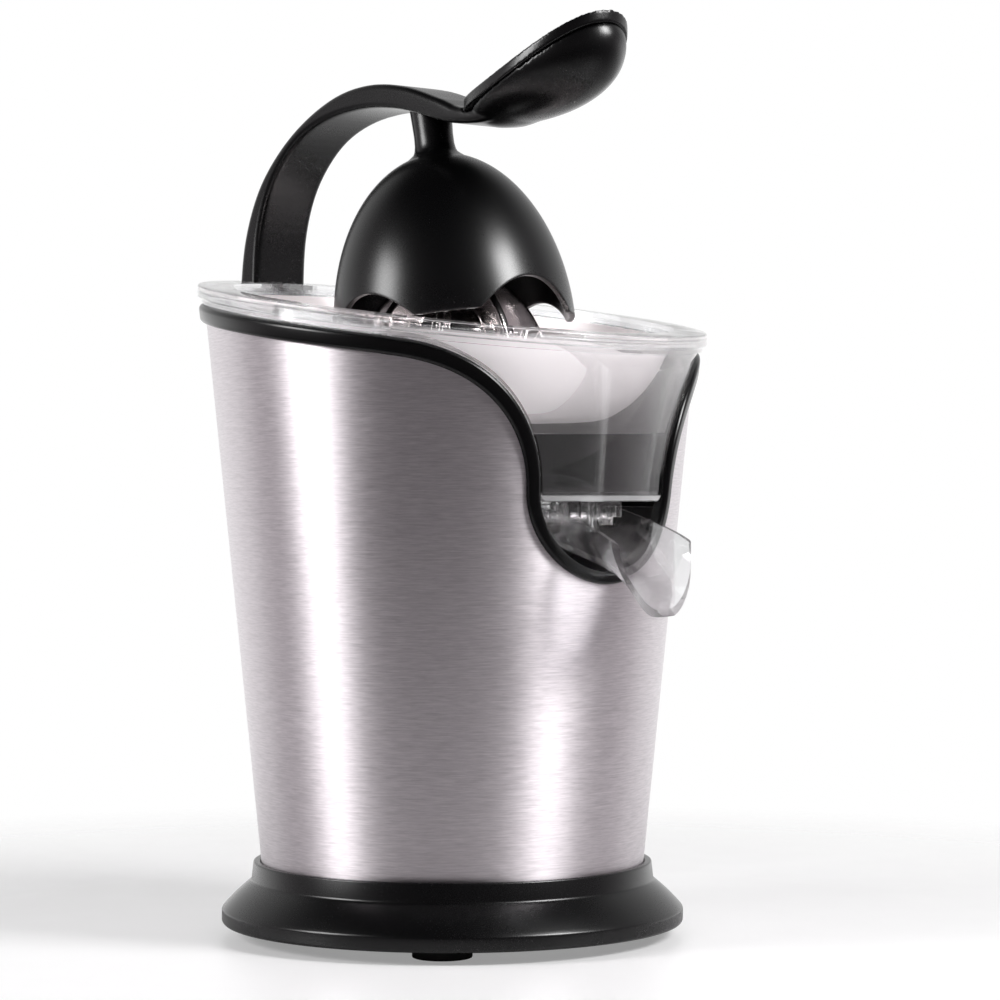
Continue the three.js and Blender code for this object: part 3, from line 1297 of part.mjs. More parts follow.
const lowerCoil = () =>
  tube(COIL_INNER, COIL_OUTER, STATOR_BOTTOM + COIL_RECESS, STATOR_BOTTOM + COIL_DEPTH - GAP, 20);

function motorRotor() {
  const wheelTop = IDLER_WHEEL_Z + IDLER_WHEEL_THICKNESS;
  const shaft = rod(MOTOR_SHAFT_RADIUS, FAN_BOTTOM - 2, wheelTop + 2 * PINION_LAND, 12);
  const core = rod(ROTOR_RADIUS, STATOR_BOTTOM + 1, STATOR_TOP - 1, 24);
  const pinionTurn = motorToIdler + Math.PI / PINION_TEETH;
  const pinion = raised(
    gearShape(PINION_TEETH, pinionTurn, 0, 0),
    IDLER_WHEEL_Z - PINION_LAND, wheelTop + PINION_LAND);
  return join(shaft, core, pinion);
}

const UPPER_PLATE_Z = STATOR_TOP + GAP;
const LOWER_PLATE_Z = STATOR_BOTTOM - GAP - MOTOR_PLATE;
const FAN_TOP = LOWER_PLATE_Z - FAN_BELOW_MOTOR;

function motorUpperBracket() {
  const plate = raised(
    roundedSquare(STATOR_HALF_WIDTH, STATOR_CORNER), UPPER_PLATE_Z, UPPER_PLATE_Z + MOTOR_PLATE, 3);
  const bossTop = UPPER_PLATE_Z + MOTOR_BOSS_HEIGHT;
  const boss = rod(MOTOR_BOSS_RADIUS, UPPER_PLATE_Z, bossTop, 16);
  const posts = [[-1, 1], [1, -1]].map(([sideX, sideY]) =>
    rod(MOTOR_POST_RADIUS, UPPER_PLATE_Z + 1, GEARBOX_FLOOR - GAP, 10)
      .translate([sideX * MOTOR_POST_OFFSET, sideY * MOTOR_POST_OFFSET, 0]));
  return cut(
    join(plate, boss, ...posts),
    rod(MOTOR_SHAFT_RADIUS + GAP, UPPER_PLATE_Z - 1, bossTop + 1, 12),
    ...motorScrewHoles(UPPER_PLATE_Z - 1, UPPER_PLATE_Z + MOTOR_PLATE + 1),
  );
}

function motorLowerBracket() {
  const plate = raised(
    roundedSquare(STATOR_HALF_WIDTH, STATOR_CORNER), LOWER_PLATE_Z, LOWER_PLATE_Z + MOTOR_PLATE, 3);
  const bossBottom = LOWER_PLATE_Z - MOTOR_LOWER_BOSS;
  const boss = rod(MOTOR_BOSS_RADIUS, bossBottom, LOWER_PLATE_Z + 1, 16);
  return cut(
    join(plate, boss),
    rod(MOTOR_SHAFT_RADIUS + GAP, bossBottom - 1, STATOR_BOTTOM, 12),
    ...motorScrewHoles(LOWER_PLATE_Z - 1, LOWER_PLATE_Z + MOTOR_PLATE + 1),
  );
}

const motorScrew = () => screw(LOWER_PLATE_Z - GAP, UPPER_PLATE_Z + MOTOR_PLATE - 1);

function coolingFan() {
  const envelope = rod(FAN_RADIUS, FAN_BOTTOM, FAN_TOP, 24);
  const blades = [];
  for (let i = 0; i < FAN_BLADES; i += 1) {
    const blade = block(
      [MOTOR_SHAFT_RADIUS + 2, FAN_RADIUS],
      [-FAN_BLADE_HALF, FAN_BLADE_HALF],
      [FAN_BOTTOM + 0.5, FAN_TOP - 1],
    );
    const swept = blade.rotate([FAN_PITCH, 0, 0]).translate([0, FAN_SWEEP, 0]);
    blades.push(overlap(swept.rotate([0, 0, (360 * i) / FAN_BLADES]), envelope));
  }
  const hub = rod(MOTOR_SHAFT_RADIUS + FAN_HUB_WALL, FAN_BOTTOM, FAN_TOP, 16);
  const disc = rod(FAN_RADIUS - 2, FAN_TOP - FAN_DISC, FAN_TOP, 24);
  return cut(
    join(hub, disc, ...blades),
    rod(MOTOR_SHAFT_RADIUS + GAP, FAN_BOTTOM - 1, FAN_TOP + 1, 12),
  );
}

// ---------------------------------------------------------------- press-to-start mechanism

function thrustCup() {
  const disc = rod(THRUST_RADIUS, THRUST_BOTTOM, THRUST_TOP);
  const stemEnd = SPRING_SEAT_Z - SPRING_BRIDGE_THICKNESS - 3;
  const stem = rod(THRUST_STEM_RADIUS, stemEnd, THRUST_BOTTOM + 1, 12);
  const finger = block(
    [SWITCH_X - 2 * BUTTON_RADIUS, 0],
    [-FINGER_HALF_WIDTH, FINGER_HALF_WIDTH],
    [THRUST_BOTTOM, THRUST_BOTTOM + FINGER_THICKNESS],
  );
  return join(disc, stem, finger);
}

function returnSpring() {
  const bottom = SPRING_SEAT_Z + GAP + SPRING_WIRE;
  const top = THRUST_BOTTOM - GAP - SPRING_WIRE;
  const points = [];
  const perTurn = 8;
  const count = Math.round(SPRING_TURNS * perTurn);
  for (let i = 0; i <= count; i += 1) {
    const angle = (2 * Math.PI * i) / perTurn;
    points.push(new THREE.Vector3(
      SPRING_RADIUS * Math.cos(angle),
      SPRING_RADIUS * Math.sin(angle),
      bottom + ((top - bottom) * i) / count,
    ));
  }
  const wire = new THREE.Shape();
  wire.absarc(0, 0, SPRING_WIRE, 0, 2 * Math.PI, false);
  const extrudePath = new THREE.CatmullRomCurve3(points);
  return solid(new THREE.ExtrudeGeometry(wire, { steps: count, extrudePath, curveSegments: 3 }));
}

// Bridge under the gearbox: it seats the spring and carries the switch.
function springBridge() {
  const bottom = SPRING_SEAT_Z - SPRING_BRIDGE_THICKNESS;
  const plate = block(
    [SWITCH_X - SWITCH_LENGTH / 2, BRIDGE_END],
    [-BRIDGE_LEG_Y - 1, BRIDGE_REAR],
    [bottom, SPRING_SEAT_Z],
  );
  const legs = [0, SWITCH_X + 2].map((x) =>
    block(
      [x - BRIDGE_LEG_HALF, x + BRIDGE_LEG_HALF],
      [-BRIDGE_LEG_Y - 1, -BRIDGE_LEG_Y + 1],
      [bottom, GEARBOX_FLOOR - GAP],
    ));
  return cut(
    join(plate, ...legs),
    rod(THRUST_STEM_RADIUS + GAP, bottom - 1, SPRING_SEAT_Z + 1, 12),
  );
}

const SWITCH_BOTTOM = SPRING_SEAT_Z + GAP;
const SWITCH_TOP = SWITCH_BOTTOM + SWITCH_HEIGHT;

function startSwitch() {
  const body = block(
    [-SWITCH_LENGTH / 2, SWITCH_LENGTH / 2],
    [-SWITCH_WIDTH / 2, SWITCH_WIDTH / 2],
    [SWITCH_BOTTOM, SWITCH_TOP],
  );
  const well = rod(BUTTON_RADIUS + GAP, SWITCH_TOP - BUTTON_WELL, SWITCH_TOP + 1, 12);
  const holes = [-1, 1].map((side) =>
    rod(SWITCH_HOLE, -SWITCH_WIDTH, SWITCH_WIDTH, 10)
      .rotate([90, 0, 0])
      .translate([side * SWITCH_HOLE_OFFSET, 0, SWITCH_BOTTOM + SWITCH_HOLE_RISE]));
  return cut(body, well, ...holes);
}

const switchButton = () => rod(BUTTON_RADIUS, SWITCH_TOP - BUTTON_SUNK, THRUST_BOTTOM - GAP, 12);

// ---------------------------------------------------------------- cord gland

function cordGland() {
  const wall = shellRadius(GLAND_Z + GLAND_FLANGE);
  const ringAlongY = turned([
    [GLAND_BORE, wall - GLAND_DEPTH],
    [GLAND_RADIUS, wall - GLAND_DEPTH],
    [GLAND_RADIUS, wall + 2 * GAP],
    [GLAND_FLANGE, wall + 2 * GAP],
    [GLAND_FLANGE, wall + GLAND_EDGE],
    [GLAND_BORE, wall + GLAND_COLLAR],
  ]);
  return ringAlongY.rotate([-90, 0, 0]).translate([0, 0, GLAND_Z]);
}

// ---------------------------------------------------------------- assembly

const press = new THREE.Group();

// A group that stands at the axis of one body, or of one sub-assembly.
function groupAt(x, y, z) {
  const group = new THREE.Group();
  group.position.set(x, y, z);
  press.add(group);
  return group;
}

// Adds a piece, drawn in the group's frame, at a place in it.
function add(group, name, part, material, place = [0, 0, 0]) {
  const { vertProperties, triVerts } = part.getMesh();
  const geometry = new THREE.BufferGeometry();
  geometry.setAttribute('position', new THREE.BufferAttribute(new Float32Array(vertProperties), 3));
  geometry.setIndex(new THREE.BufferAttribute(new Uint32Array(triVerts), 1));
  geometry.computeVertexNormals();
  const mesh = new THREE.Mesh(geometry, material);
  mesh.name = name;
  mesh.position.set(...place);
  group.add(mesh);
}

// Adds a piece that is drawn in the press's own frame to a group that stands elsewhere.
function addDrawnInPlace(group, name, part, material) {
  const { x, y, z } = group.position;
  add(group, name, part.translate([-x, -y, -z]), material);
}

const body = groupAt(0, 0, 0);
add(body, 'base_skirt', baseSkirt(), BLACK_PLASTIC);
add(body, 'bottom_plate', bottomPlate(), HOUSING_PLASTIC);
for (const [corner, sides] of Object.entries(footCorners)) {
  const place = [...footPlace(sides), 0];
  const footScrew = screw(FOOT_RECESS - GAP, TOWER_BOTTOM + SCREW_BITE);
  add(body, `foot_${corner}`, foot(), RUBBER, place);
  add(body, `base_screw_${corner}`, footScrew, PLAIN_STEEL, place);
}
add(body, 'steel_shell', steelShell(), BRUSHED_STEEL);
add(body, 'shell_trim', shellTrim(), BLACK_PLASTIC);
add(body, 'inner_housing', innerHousing(), HOUSING_PLASTIC);
add(body, 'cord_gland', cordGland(), RUBBER);
add(body, 'juice_bowl', juiceBowl(), CLEAR_PLASTIC);
add(body, 'strainer', strainer(), POLISHED_STEEL);
add(body, 'hinge_bracket', hingeBracket(), BLACK_PLASTIC);
add(body, 'bracket_screw_lower', bracketScrew(BRACKET_SCREWS[0]), PLAIN_STEEL);
add(body, 'bracket_screw_upper', bracketScrew(BRACKET_SCREWS[1]), PLAIN_STEEL);

const trough = groupAt(0, -SPOUT_PIN_Y, SPOUT_PIN_Z);
addDrawnInPlace(trough, 'spout', spout(), CLEAR_PLASTIC);
addDrawnInPlace(trough, 'spout_pin', spoutPin(), POLISHED_STEEL);

const lever = groupAt(0, HINGE_Y, HINGE_Z);
const blankArm = armBlank();
addDrawnInPlace(lever, 'lever_arm', leverArm(blankArm), BLACK_PLASTIC);
addDrawnInPlace(lever, 'handle_pad', handlePad(), BLACK_PLASTIC);
addDrawnInPlace(lever, 'pressing_dome', pressingDome(blankArm), BLACK_PLASTIC);
addDrawnInPlace(lever, 'dome_screw', domeScrew(), PLAIN_STEEL);
addDrawnInPlace(lever, 'hinge_bush_left', hingeBush(-1), BRONZE);
addDrawnInPlace(lever, 'hinge_bush_right', hingeBush(1), BRONZE);
addDrawnInPlace(lever, 'hinge_pin', hingePin(), PLAIN_STEEL);

const gearbox = groupAt(0, 0, 0);
add(gearbox, 'gearbox_case', gearboxCase(), GREY_PLASTIC);
add(gearbox, 'gearbox_cover', gearboxCover(), GREY_PLASTIC);
gearboxScrewPlaces.forEach((place, i) =>
  add(gearbox, `gearbox_screw_${i + 1}`, gearboxScrew(), PLAIN_STEEL, [...place, 0]));
add(gearbox, 'output_gear', outputGear(), NYLON);
add(gearbox, 'shaft_bush_lower', lowerBush(), BRONZE);
add(gearbox, 'shaft_bush_upper', upperBush(), BRONZE);
add(gearbox, 'shaft_seal', shaftSeal(), RUBBER);

const drive = groupAt(0, 0, 0);
add(drive, 'drive_shaft', driveShaft(), PLAIN_STEEL);
add(drive, 'reamer', reamer(), POLISHED_STEEL);

const idler = groupAt(IDLER_X, IDLER_Y, 0);
add(idler, 'idler_gear', idlerGear(), NYLON);
add(idler, 'idler_axle', idlerAxle(), PLAIN_STEEL);

const motor = groupAt(0, MOTOR_Y, 0);
add(motor, 'motor_stator', motorStator(), LAMINATION);
add(motor, 'motor_coil_upper', upperCoil(), COPPER);
add(motor, 'motor_coil_lower', lowerCoil(), COPPER);
add(motor, 'motor_rotor', motorRotor(), PLAIN_STEEL);
add(motor, 'motor_bracket_upper', motorUpperBracket(), GREY_PLASTIC);
add(motor, 'motor_bracket_lower', motorLowerBracket(), GREY_PLASTIC);
motorScrewPlaces.forEach((place, i) =>
  add(motor, `motor_screw_${i + 1}`, motorScrew(), PLAIN_STEEL, [...place, 0]));
add(motor, 'cooling_fan', coolingFan(), NYLON);

const thrust = groupAt(0, 0, 0);
add(thrust, 'thrust_cup', thrustCup(), NYLON);
add(thrust, 'return_spring', returnSpring(), PLAIN_STEEL);
add(thrust, 'spring_bridge', springBridge(), PLAIN_STEEL);
add(thrust, 'start_switch', startSwitch(), HOUSING_PLASTIC, [SWITCH_X, 0, 0]);
add(thrust, 'switch_button', switchButton(), NYLON, [SWITCH_X, 0, 0]);

export default press;
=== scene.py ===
"""Looks of a lever citrus press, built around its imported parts.

Shapes are drawn in millimetres in the frame of the parts and scaled to metres when a piece is finished.
The spout points to -Y and +Z is up.
"""
import json
import math

import bmesh
import bpy
from mathutils import Matrix, Vector


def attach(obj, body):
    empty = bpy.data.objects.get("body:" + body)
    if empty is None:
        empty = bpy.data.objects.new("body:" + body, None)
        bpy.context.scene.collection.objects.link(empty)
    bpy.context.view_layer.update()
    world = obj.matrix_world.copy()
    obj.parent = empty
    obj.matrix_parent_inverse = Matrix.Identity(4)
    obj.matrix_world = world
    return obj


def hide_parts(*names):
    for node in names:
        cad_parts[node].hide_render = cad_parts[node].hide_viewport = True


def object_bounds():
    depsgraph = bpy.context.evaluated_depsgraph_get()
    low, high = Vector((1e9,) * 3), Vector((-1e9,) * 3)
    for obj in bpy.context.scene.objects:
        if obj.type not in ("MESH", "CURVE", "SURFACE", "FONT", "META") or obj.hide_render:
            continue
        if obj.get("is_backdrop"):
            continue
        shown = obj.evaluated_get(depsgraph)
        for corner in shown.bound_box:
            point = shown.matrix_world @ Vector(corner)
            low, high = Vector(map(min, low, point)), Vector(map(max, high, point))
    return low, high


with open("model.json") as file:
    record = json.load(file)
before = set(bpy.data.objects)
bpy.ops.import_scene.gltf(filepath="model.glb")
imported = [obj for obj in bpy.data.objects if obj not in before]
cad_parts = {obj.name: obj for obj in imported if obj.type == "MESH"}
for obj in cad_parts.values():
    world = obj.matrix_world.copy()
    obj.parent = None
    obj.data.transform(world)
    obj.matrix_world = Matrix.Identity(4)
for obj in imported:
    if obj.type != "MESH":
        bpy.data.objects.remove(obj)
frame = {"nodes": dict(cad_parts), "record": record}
cad_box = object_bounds()

MM = 0.001
COLUMNS = 256  # columns round the large turned pieces

# ---- sizes, in millimetres

SHELL_FLOOR_RADIUS = 73.35
SHELL_TAPER = 0.101
RIM_SLOPE = math.tan(math.radians(8.24))
SHELL_EDGE = 234.9  # height of the steel edge on the axis
TRIM_TOP = 241.9
NOTCH_Z = 178.5
NOTCH_RADIUS = 37.4
OPENING_RADIUS = NOTCH_RADIUS - 4.9  # the notch inside its trim
BAY_RADIUS = 32.2
NOTCH_MOUTH = 80.0
DECK_TOP = 170.0

BOWL_FLOOR = 172.4
BOWL_INSIDE = 175.0
BOWL_FOOT_RADIUS = 84.0
BOWL_MOUTH_RADIUS = 91.0
BOWL_WALL = 2.2
RIM_TOP = 249.6
RIM_RADIUS = 101.5
OUTLET_Y = -73.5

REAMER_FOOT = 208.0
REAMER_RADIUS = 39.5
REAMER_BORE = 3.8

DOME_LEAN = math.radians(9.5)
DOME_PLACE = Vector((0, -1.7, 240.3))

ARM_HALF = 13.85  # half the arm's width
BRACKET_GAP = 0.5  # clearance beside the arm
BRACKET_HALF = ARM_HALF + BRACKET_GAP + 4.8
PADDLE_HALF = 23.7
PADDLE_REAR, PADDLE_TIP = 20.0, 90.5  # how far in front of the axis the paddle starts and ends
PADDLE_REAR_RISE, PADDLE_TIP_RISE = 324.6, 354.2  # height of its rim line there
SCREW_WAY = 1.9  # radius of a hole that a screw passes through
HINGE = Vector((0, 115, 240))
KNUCKLE_RADIUS = 6.2
HINGE_AXIS = Matrix.Translation(HINGE) @ Matrix.Rotation(math.pi / 2, 4, "Y")
SPOUT_AXIS = Matrix.Translation((0, -64, 166)) @ Matrix.Rotation(math.pi / 2, 4, "Y")


def shell_radius(z):
    return SHELL_FLOOR_RADIUS + SHELL_TAPER * z


# ---- modelling helpers


def line(points, closed=True):
    """Vertices joined in a row by edges."""
    bm = bmesh.new()
    verts = [bm.verts.new(p) for p in points]
    for pair in zip(verts, verts[1:]):
        bm.edges.new(pair)
    if closed:
        bm.edges.new((verts[-1], verts[0]))
    return bm


def bevelled(bm, geom, radius, segments, affect="EDGES"):
    bmesh.ops.bevel(
        bm, geom=geom, offset=radius, offset_type="OFFSET", segments=segments, profile=0.5,
        affect=affect, material=-1, clamp_overlap=affect == "EDGES")
    return bm


def round_corners(bm, radius, segments):
    """Rounds every corner of a flat outline."""
    bevelled(bm, bm.verts[:], radius, segments, "VERTICES")
    bmesh.ops.remove_doubles(bm, verts=bm.verts, dist=1e-4)
    return bm


def soften(bm, width, segments=2, angle=30):
    """Rounds every edge sharper than the angle."""
    sharp = [e for e in bm.edges if e.is_manifold and e.calc_face_angle(0) > math.radians(angle)]
    return bevelled(bm, sharp, width, segments)


def turned(profile, steps=COLUMNS, soft=0.0, segments=2, angle=30):
    """Spins a half section of (radius, height) about Z. It closes on itself or on the axis."""
    bm = line([(r, 0, z) for r, z in profile], closed=profile[0][0] != 0)
    bmesh.ops.spin(
        bm, geom=bm.verts[:] + bm.edges[:], cent=(0, 0, 0), axis=(0, 0, 1),
        angle=2 * math.pi, steps=steps, use_merge=True)
    bmesh.ops.remove_doubles(bm, verts=bm.verts, dist=1e-4)
    bmesh.ops.recalc_face_normals(bm, faces=bm.faces)
    if soft:
        soften(bm, soft, segments, angle)
    return bm


def rod(radius, bottom, top, steps=48, soft=0.0):
    return turned([(0, bottom), (radius, bottom), (radius, top), (0, top)], steps, soft)


def block(low, high, soft=0.0):
    """A box between two corners, with its edges rounded."""
    bm = bmesh.new()
    bmesh.ops.create_cube(bm, size=1)
    bmesh.ops.scale(bm, vec=[b - a for a, b in zip(low, high)], verts=bm.verts)
    bmesh.ops.translate(bm, vec=[(a + b) / 2 for a, b in zip(low, high)], verts=bm.verts)
    if soft:
        soften(bm, soft)
    return bm


def deepened(bm, push):
    """A flat closed outline filled and given a depth."""
    bmesh.ops.contextual_create(bm, geom=bm.edges[:])
    grown = bmesh.ops.extrude_face_region(bm, geom=bm.faces[:], use_keep_orig=True)
    verts = [g for g in grown["geom"] if isinstance(g, bmesh.types.BMVert)]
    bmesh.ops.translate(bm, vec=push, verts=verts)
    bmesh.ops.recalc_face_normals(bm, faces=bm.faces)
    return bm


def prism(outline, push):
    return deepened(line(outline), push)


def swept(section, stations, closed=False):
    """Carries a flat section through a line of places, each a matrix of its axes and origin."""
    bm = section
    bmesh.ops.transform(bm, matrix=stations[0], verts=bm.verts)
    first = bm.edges[:]
    ring = first
    for here, there in zip(stations, stations[1:]):
        grown = bmesh.ops.extrude_edge_only(bm, edges=ring)["geom"]
        verts = [g for g in grown if isinstance(g, bmesh.types.BMVert)]
        ring = [g for g in grown if isinstance(g, bmesh.types.BMEdge)]
        bmesh.ops.transform(bm, matrix=there @ here.inverted(), verts=verts)
    if closed:
        bmesh.ops.bridge_loops(bm, edges=first + ring)
    else:
        bmesh.ops.edgeloop_fill(bm, edges=first)
        bmesh.ops.edgeloop_fill(bm, edges=ring)
    bmesh.ops.recalc_face_normals(bm, faces=bm.faces)
    return bm


def place(across, up, along, origin):
    """The matrix of a section's two axes, its running direction and its origin."""
    matrix = Matrix.Identity(4)
    for column, axis in enumerate((across, up, along, origin)):
        matrix.col[column] = Vector((*axis, 1 if column == 3 else 0))
    return matrix


def moved(bm, matrix):
    bmesh.ops.transform(bm, matrix=matrix, verts=bm.verts)
    return bm


def shifted(bm, x=0.0, y=0.0, z=0.0):
    return moved(bm, Matrix.Translation((x, y, z)))


def spun(bm, degrees):
    return moved(bm, Matrix.Rotation(math.radians(degrees), 4, "Z"))


def gathered(*parts):
    """Several separate shapes as one."""
    bm = bmesh.new()
    for part in parts:
        mesh = bpy.data.meshes.new("part")
        part.to_mesh(mesh)
        part.free()
        bm.from_mesh(mesh)
        bpy.data.meshes.remove(mesh)
    return bm


def work_object(bm):
    mesh = bpy.data.meshes.new("work")
    bm.to_mesh(mesh)
    bm.free()
    obj = bpy.data.objects.new("work", mesh)
    bpy.context.scene.collection.objects.link(obj)
    return obj


def finished_by(obj, *tools):
    """The shape that an object's modifiers give, as a new bmesh. The work objects are dropped."""
    bpy.context.view_layer.update()
    made = bpy.data.meshes.new_from_object(obj.evaluated_get(bpy.context.evaluated_depsgraph_get()))
    bm = bmesh.new()
    bm.from_mesh(made)
    bpy.data.meshes.remove(made)
    for each in (obj, *tools):
        mesh = each.data
        bpy.data.objects.remove(each)
        bpy.data.meshes.remove(mesh)
    return bm


def combined(operation, bm, *others):
    """Joins, cuts or crosses a shape with others."""
    for other in others:
        obj, tool = work_object(bm), work_object(other)
        step = obj.modifiers.new("combine", "BOOLEAN")
        step.operation = operation
        step.solver = "MANIFOLD"
        step.object = tool
        bm = finished_by(obj, tool)
    return bm


def moulded(bm, grain, rounds):
    """Melts joined shapes into one moulding with small natural fillets."""
    obj = work_object(bm)
    remesh = obj.modifiers.new("melt", "REMESH")
    remesh.mode = "VOXEL"
    remesh.voxel_size = grain
    smooth = obj.modifiers.new("settle", "SMOOTH")
    smooth.factor = 0.5
    smooth.iterations = rounds
    return finished_by(obj)


def bow(a, b, c, t):
    """A value that leaves a towards b and settles on c as t goes from 0 to 1."""
    return a * (1 - t) ** 2 + 2 * b * t * (1 - t) + c * t * t


def bezier(a, b, c, d, t):
    return a * (1 - t) ** 3 + 3 * b * t * (1 - t) ** 2 + 3 * c * t * t * (1 - t) + d * t ** 3


def smooth_line(points, count):
    """Evenly spaced places along a smooth curve through the given points."""
    ends = [2 * Vector(points[0]) - Vector(points[1])]
    knots = ends + [Vector(p) for p in points] + [2 * Vector(points[-1]) - Vector(points[-2])]
    fine = []
    for a, b, c, d in zip(knots, knots[1:], knots[2:], knots[3:]):
        for i in range(16):
            t = i / 16
            fine.append(0.5 * (2 * b + (c - a) * t + (2 * a - 5 * b + 4 * c - d) * t ** 2
                               + (3 * b - a - 3 * c + d) * t ** 3))
    fine.append(knots[-2])
    reach = [0.0]
    for a, b in zip(fine, fine[1:]):
        reach.append(reach[-1] + (b - a).length)
    found, k = [], 0
    for i in range(count):
        goal = reach[-1] * i / (count - 1)
        while k < len(fine) - 2 and reach[k + 1] < goal:
            k += 1
        share = (goal - reach[k]) / max(reach[k + 1] - reach[k], 1e-9)
        found.append(fine[k].lerp(fine[k + 1], min(share, 1)))
    return found


def piece(name, bm, finish, body, *nodes, slot, angle=30):
    """A finished piece: in metres, shaded smooth up to the angle, riding on its body."""
    bmesh.ops.scale(bm, vec=(MM, MM, MM), verts=bm.verts)
    mesh = bpy.data.meshes.new(name)
    bm.to_mesh(mesh)
    bm.free()
    mesh.shade_smooth()
    mesh.set_sharp_from_angle(angle=math.radians(angle))
    mesh.materials.append(finish)
    obj = bpy.data.objects.new(name, mesh)
    bpy.context.scene.collection.objects.link(obj)
    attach(obj, body)
    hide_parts(*nodes)


# ---- finishes


def worked_out(tree, operation, *values):
    """A math node's result. A value is a number or another node's output."""
    node = tree.nodes.new("ShaderNodeMath")
    node.operation = operation
    for slot, value in zip(node.inputs, values):
        if isinstance(value, (int, float)):
            slot.default_value = value
        else:
            tree.links.new(value, slot)
    return node.outputs["Value"]


def ranged(tree, value, low, high, start=0.0, end=1.0, curve="LINEAR"):
    """Turns values from start to end into values from low to high."""
    node = tree.nodes.new("ShaderNodeMapRange")
    node.interpolation_type = curve
    for name, limit in (("From Min", start), ("From Max", end), ("To Min", low), ("To Max", high)):
        node.inputs[name].default_value = limit
    tree.links.new(value, node.inputs["Value"])
    return node.outputs["Result"]


class Finish:
    """A node material under construction, on Object coordinates."""

    def __init__(self, name):
        self.material = bpy.data.materials.new(name)
        self.material.use_nodes = True
        self.tree = self.material.node_tree
        self.nodes, self.links = self.tree.nodes, self.tree.links
        self.shader = self.nodes["Principled BSDF"]
        self.coords = self.nodes.new("ShaderNodeTexCoord").outputs["Object"]

    def set(self, **values):
        for name, value in values.items():
            self.shader.inputs[name.replace("_", " ")].default_value = value
        return self

    def stretched(self, scale):
        node = self.nodes.new("ShaderNodeMapping")
        node.inputs["Scale"].default_value = scale
        self.links.new(self.coords, node.inputs["Vector"])
        return node.outputs["Vector"]

    def noise(self, scale, detail=3.0, rough=0.5, vector=None):
        node = self.nodes.new("ShaderNodeTexNoise")
        node.inputs["Scale"].default_value = scale
        node.inputs["Detail"].default_value = detail
        node.inputs["Roughness"].default_value = rough
        self.links.new(vector or self.coords, node.inputs["Vector"])
        return node.outputs["Fac"]

    def ranged(self, *limits):
        return ranged(self.tree, *limits)

    def mixed(self, value, first, second):
        node = self.nodes.new("ShaderNodeMix")
        node.data_type = "RGBA"
        node.inputs["A"].default_value = (*first, 1)
        node.inputs["B"].default_value = (*second, 1)
        self.links.new(value, node.inputs["Factor"])
        return node.outputs["Result"]

    def sum(self, first, second, weight=1.0):
        return worked_out(self.tree, "MULTIPLY_ADD", second, weight, first)

    def feed(self, name, value):
        self.links.new(value, self.shader.inputs[name])
        return self

    def bump(self, height, depth, strength=1.0):
        node = self.nodes.new("ShaderNodeBump")
        node.inputs["Distance"].default_value = depth * MM
        node.inputs["Strength"].default_value = strength
        self.links.new(height, node.inputs["Height"])
        self.links.new(node.outputs["Normal"], self.shader.inputs["Normal"])
        return self


def moulded_plastic(name, dark, light, low_rough, high_rough, grain=2200, depth=0.012, shine=0.5):
    """Satin moulded plastic: fine spark-eroded grain, slow drift in gloss and colour."""
    f = Finish(name)
    drift = f.noise(18, 4)
    fine = f.noise(grain, 2)
    f.feed("Base Color", f.mixed(drift, dark, light))
    f.feed("Roughness", f.ranged(f.sum(drift, fine, 0.5), low_rough, high_rough, 0.4, 1.1))
    f.bump(fine, depth, 0.5)
    f.set(IOR=1.5, Specular_IOR_Level=shine)
    return f.material


def brushed_steel(name, dark, light, low_rough, high_rough, grain, metal=1.0, painted_glow=0.0):
    """Steel brushed round its axis in fine level strokes, which spread reflections up and down. An
    emission above zero makes it shine in its lighter colour, painted light from no lamp.
    """
    f = Finish(name)
    strokes = f.noise(1.0, 3, 0.65, f.stretched((130, 130, grain)))
    bands = f.noise(1.0, 2, 0.5, f.stretched((30, 30, 1500)))
    blotch = f.noise(14, 3)
    tone = f.sum(f.sum(strokes, bands, 0.25), blotch, 0.2)
    f.feed("Base Color", f.mixed(f.ranged(tone, 0, 1, 0.45, 1.0), dark, light))
    f.feed("Roughness", f.ranged(f.sum(strokes, blotch, 0.5), low_rough, high_rough, 0.45, 1.05))
    f.bump(strokes, 0.004, 0.3)
    f.set(Metallic=metal, Anisotropic=0.85, Anisotropic_Rotation=0.25)
    # Painted light: the emission makes the steel glow in its lighter colour, though it is no lamp.
    f.set(Emission_Color=(*light, 1), Emission_Strength=painted_glow)
    tangent = f.nodes.new("ShaderNodeTangent")
    tangent.direction_type = "RADIAL"
    tangent.axis = "Z"
    f.links.new(tangent.outputs["Tangent"], f.shader.inputs["Tangent"])
    return f.material


def polished_steel():
    """Pressed and polished steel with faint turning marks."""
    f = Finish("polished_steel")
    rings = f.noise(1.0, 2, 0.5, f.stretched((30, 30, 1400)))
    blotch = f.noise(40, 3)
    f.feed("Base Color", f.mixed(blotch, (0.84, 0.80, 0.80), (0.94, 0.90, 0.90)))
    f.feed("Roughness", f.ranged(f.sum(rings, blotch, 0.6), 0.12, 0.22, 0.5, 1.1))
    f.bump(rings, 0.004, 0.2)
    f.set(Metallic=1.0)
    return f.material


def turned_metal(name, dark, light, low_rough=0.25, high_rough=0.45):
    """Plain machined metal with fine scratches."""
    f = Finish(name)
    scratches = f.noise(1.0, 3, 0.6, f.stretched((300, 900, 1800)))
    tarnish = f.noise(120, 3)
    f.feed("Base Color", f.mixed(tarnish, dark, light))
    f.feed("Roughness", f.ranged(f.sum(tarnish, scratches, 0.5), low_rough, high_rough, 0.4, 1.1))
    f.bump(scratches, 0.005, 0.3)
    f.set(Metallic=1.0)
    return f.material


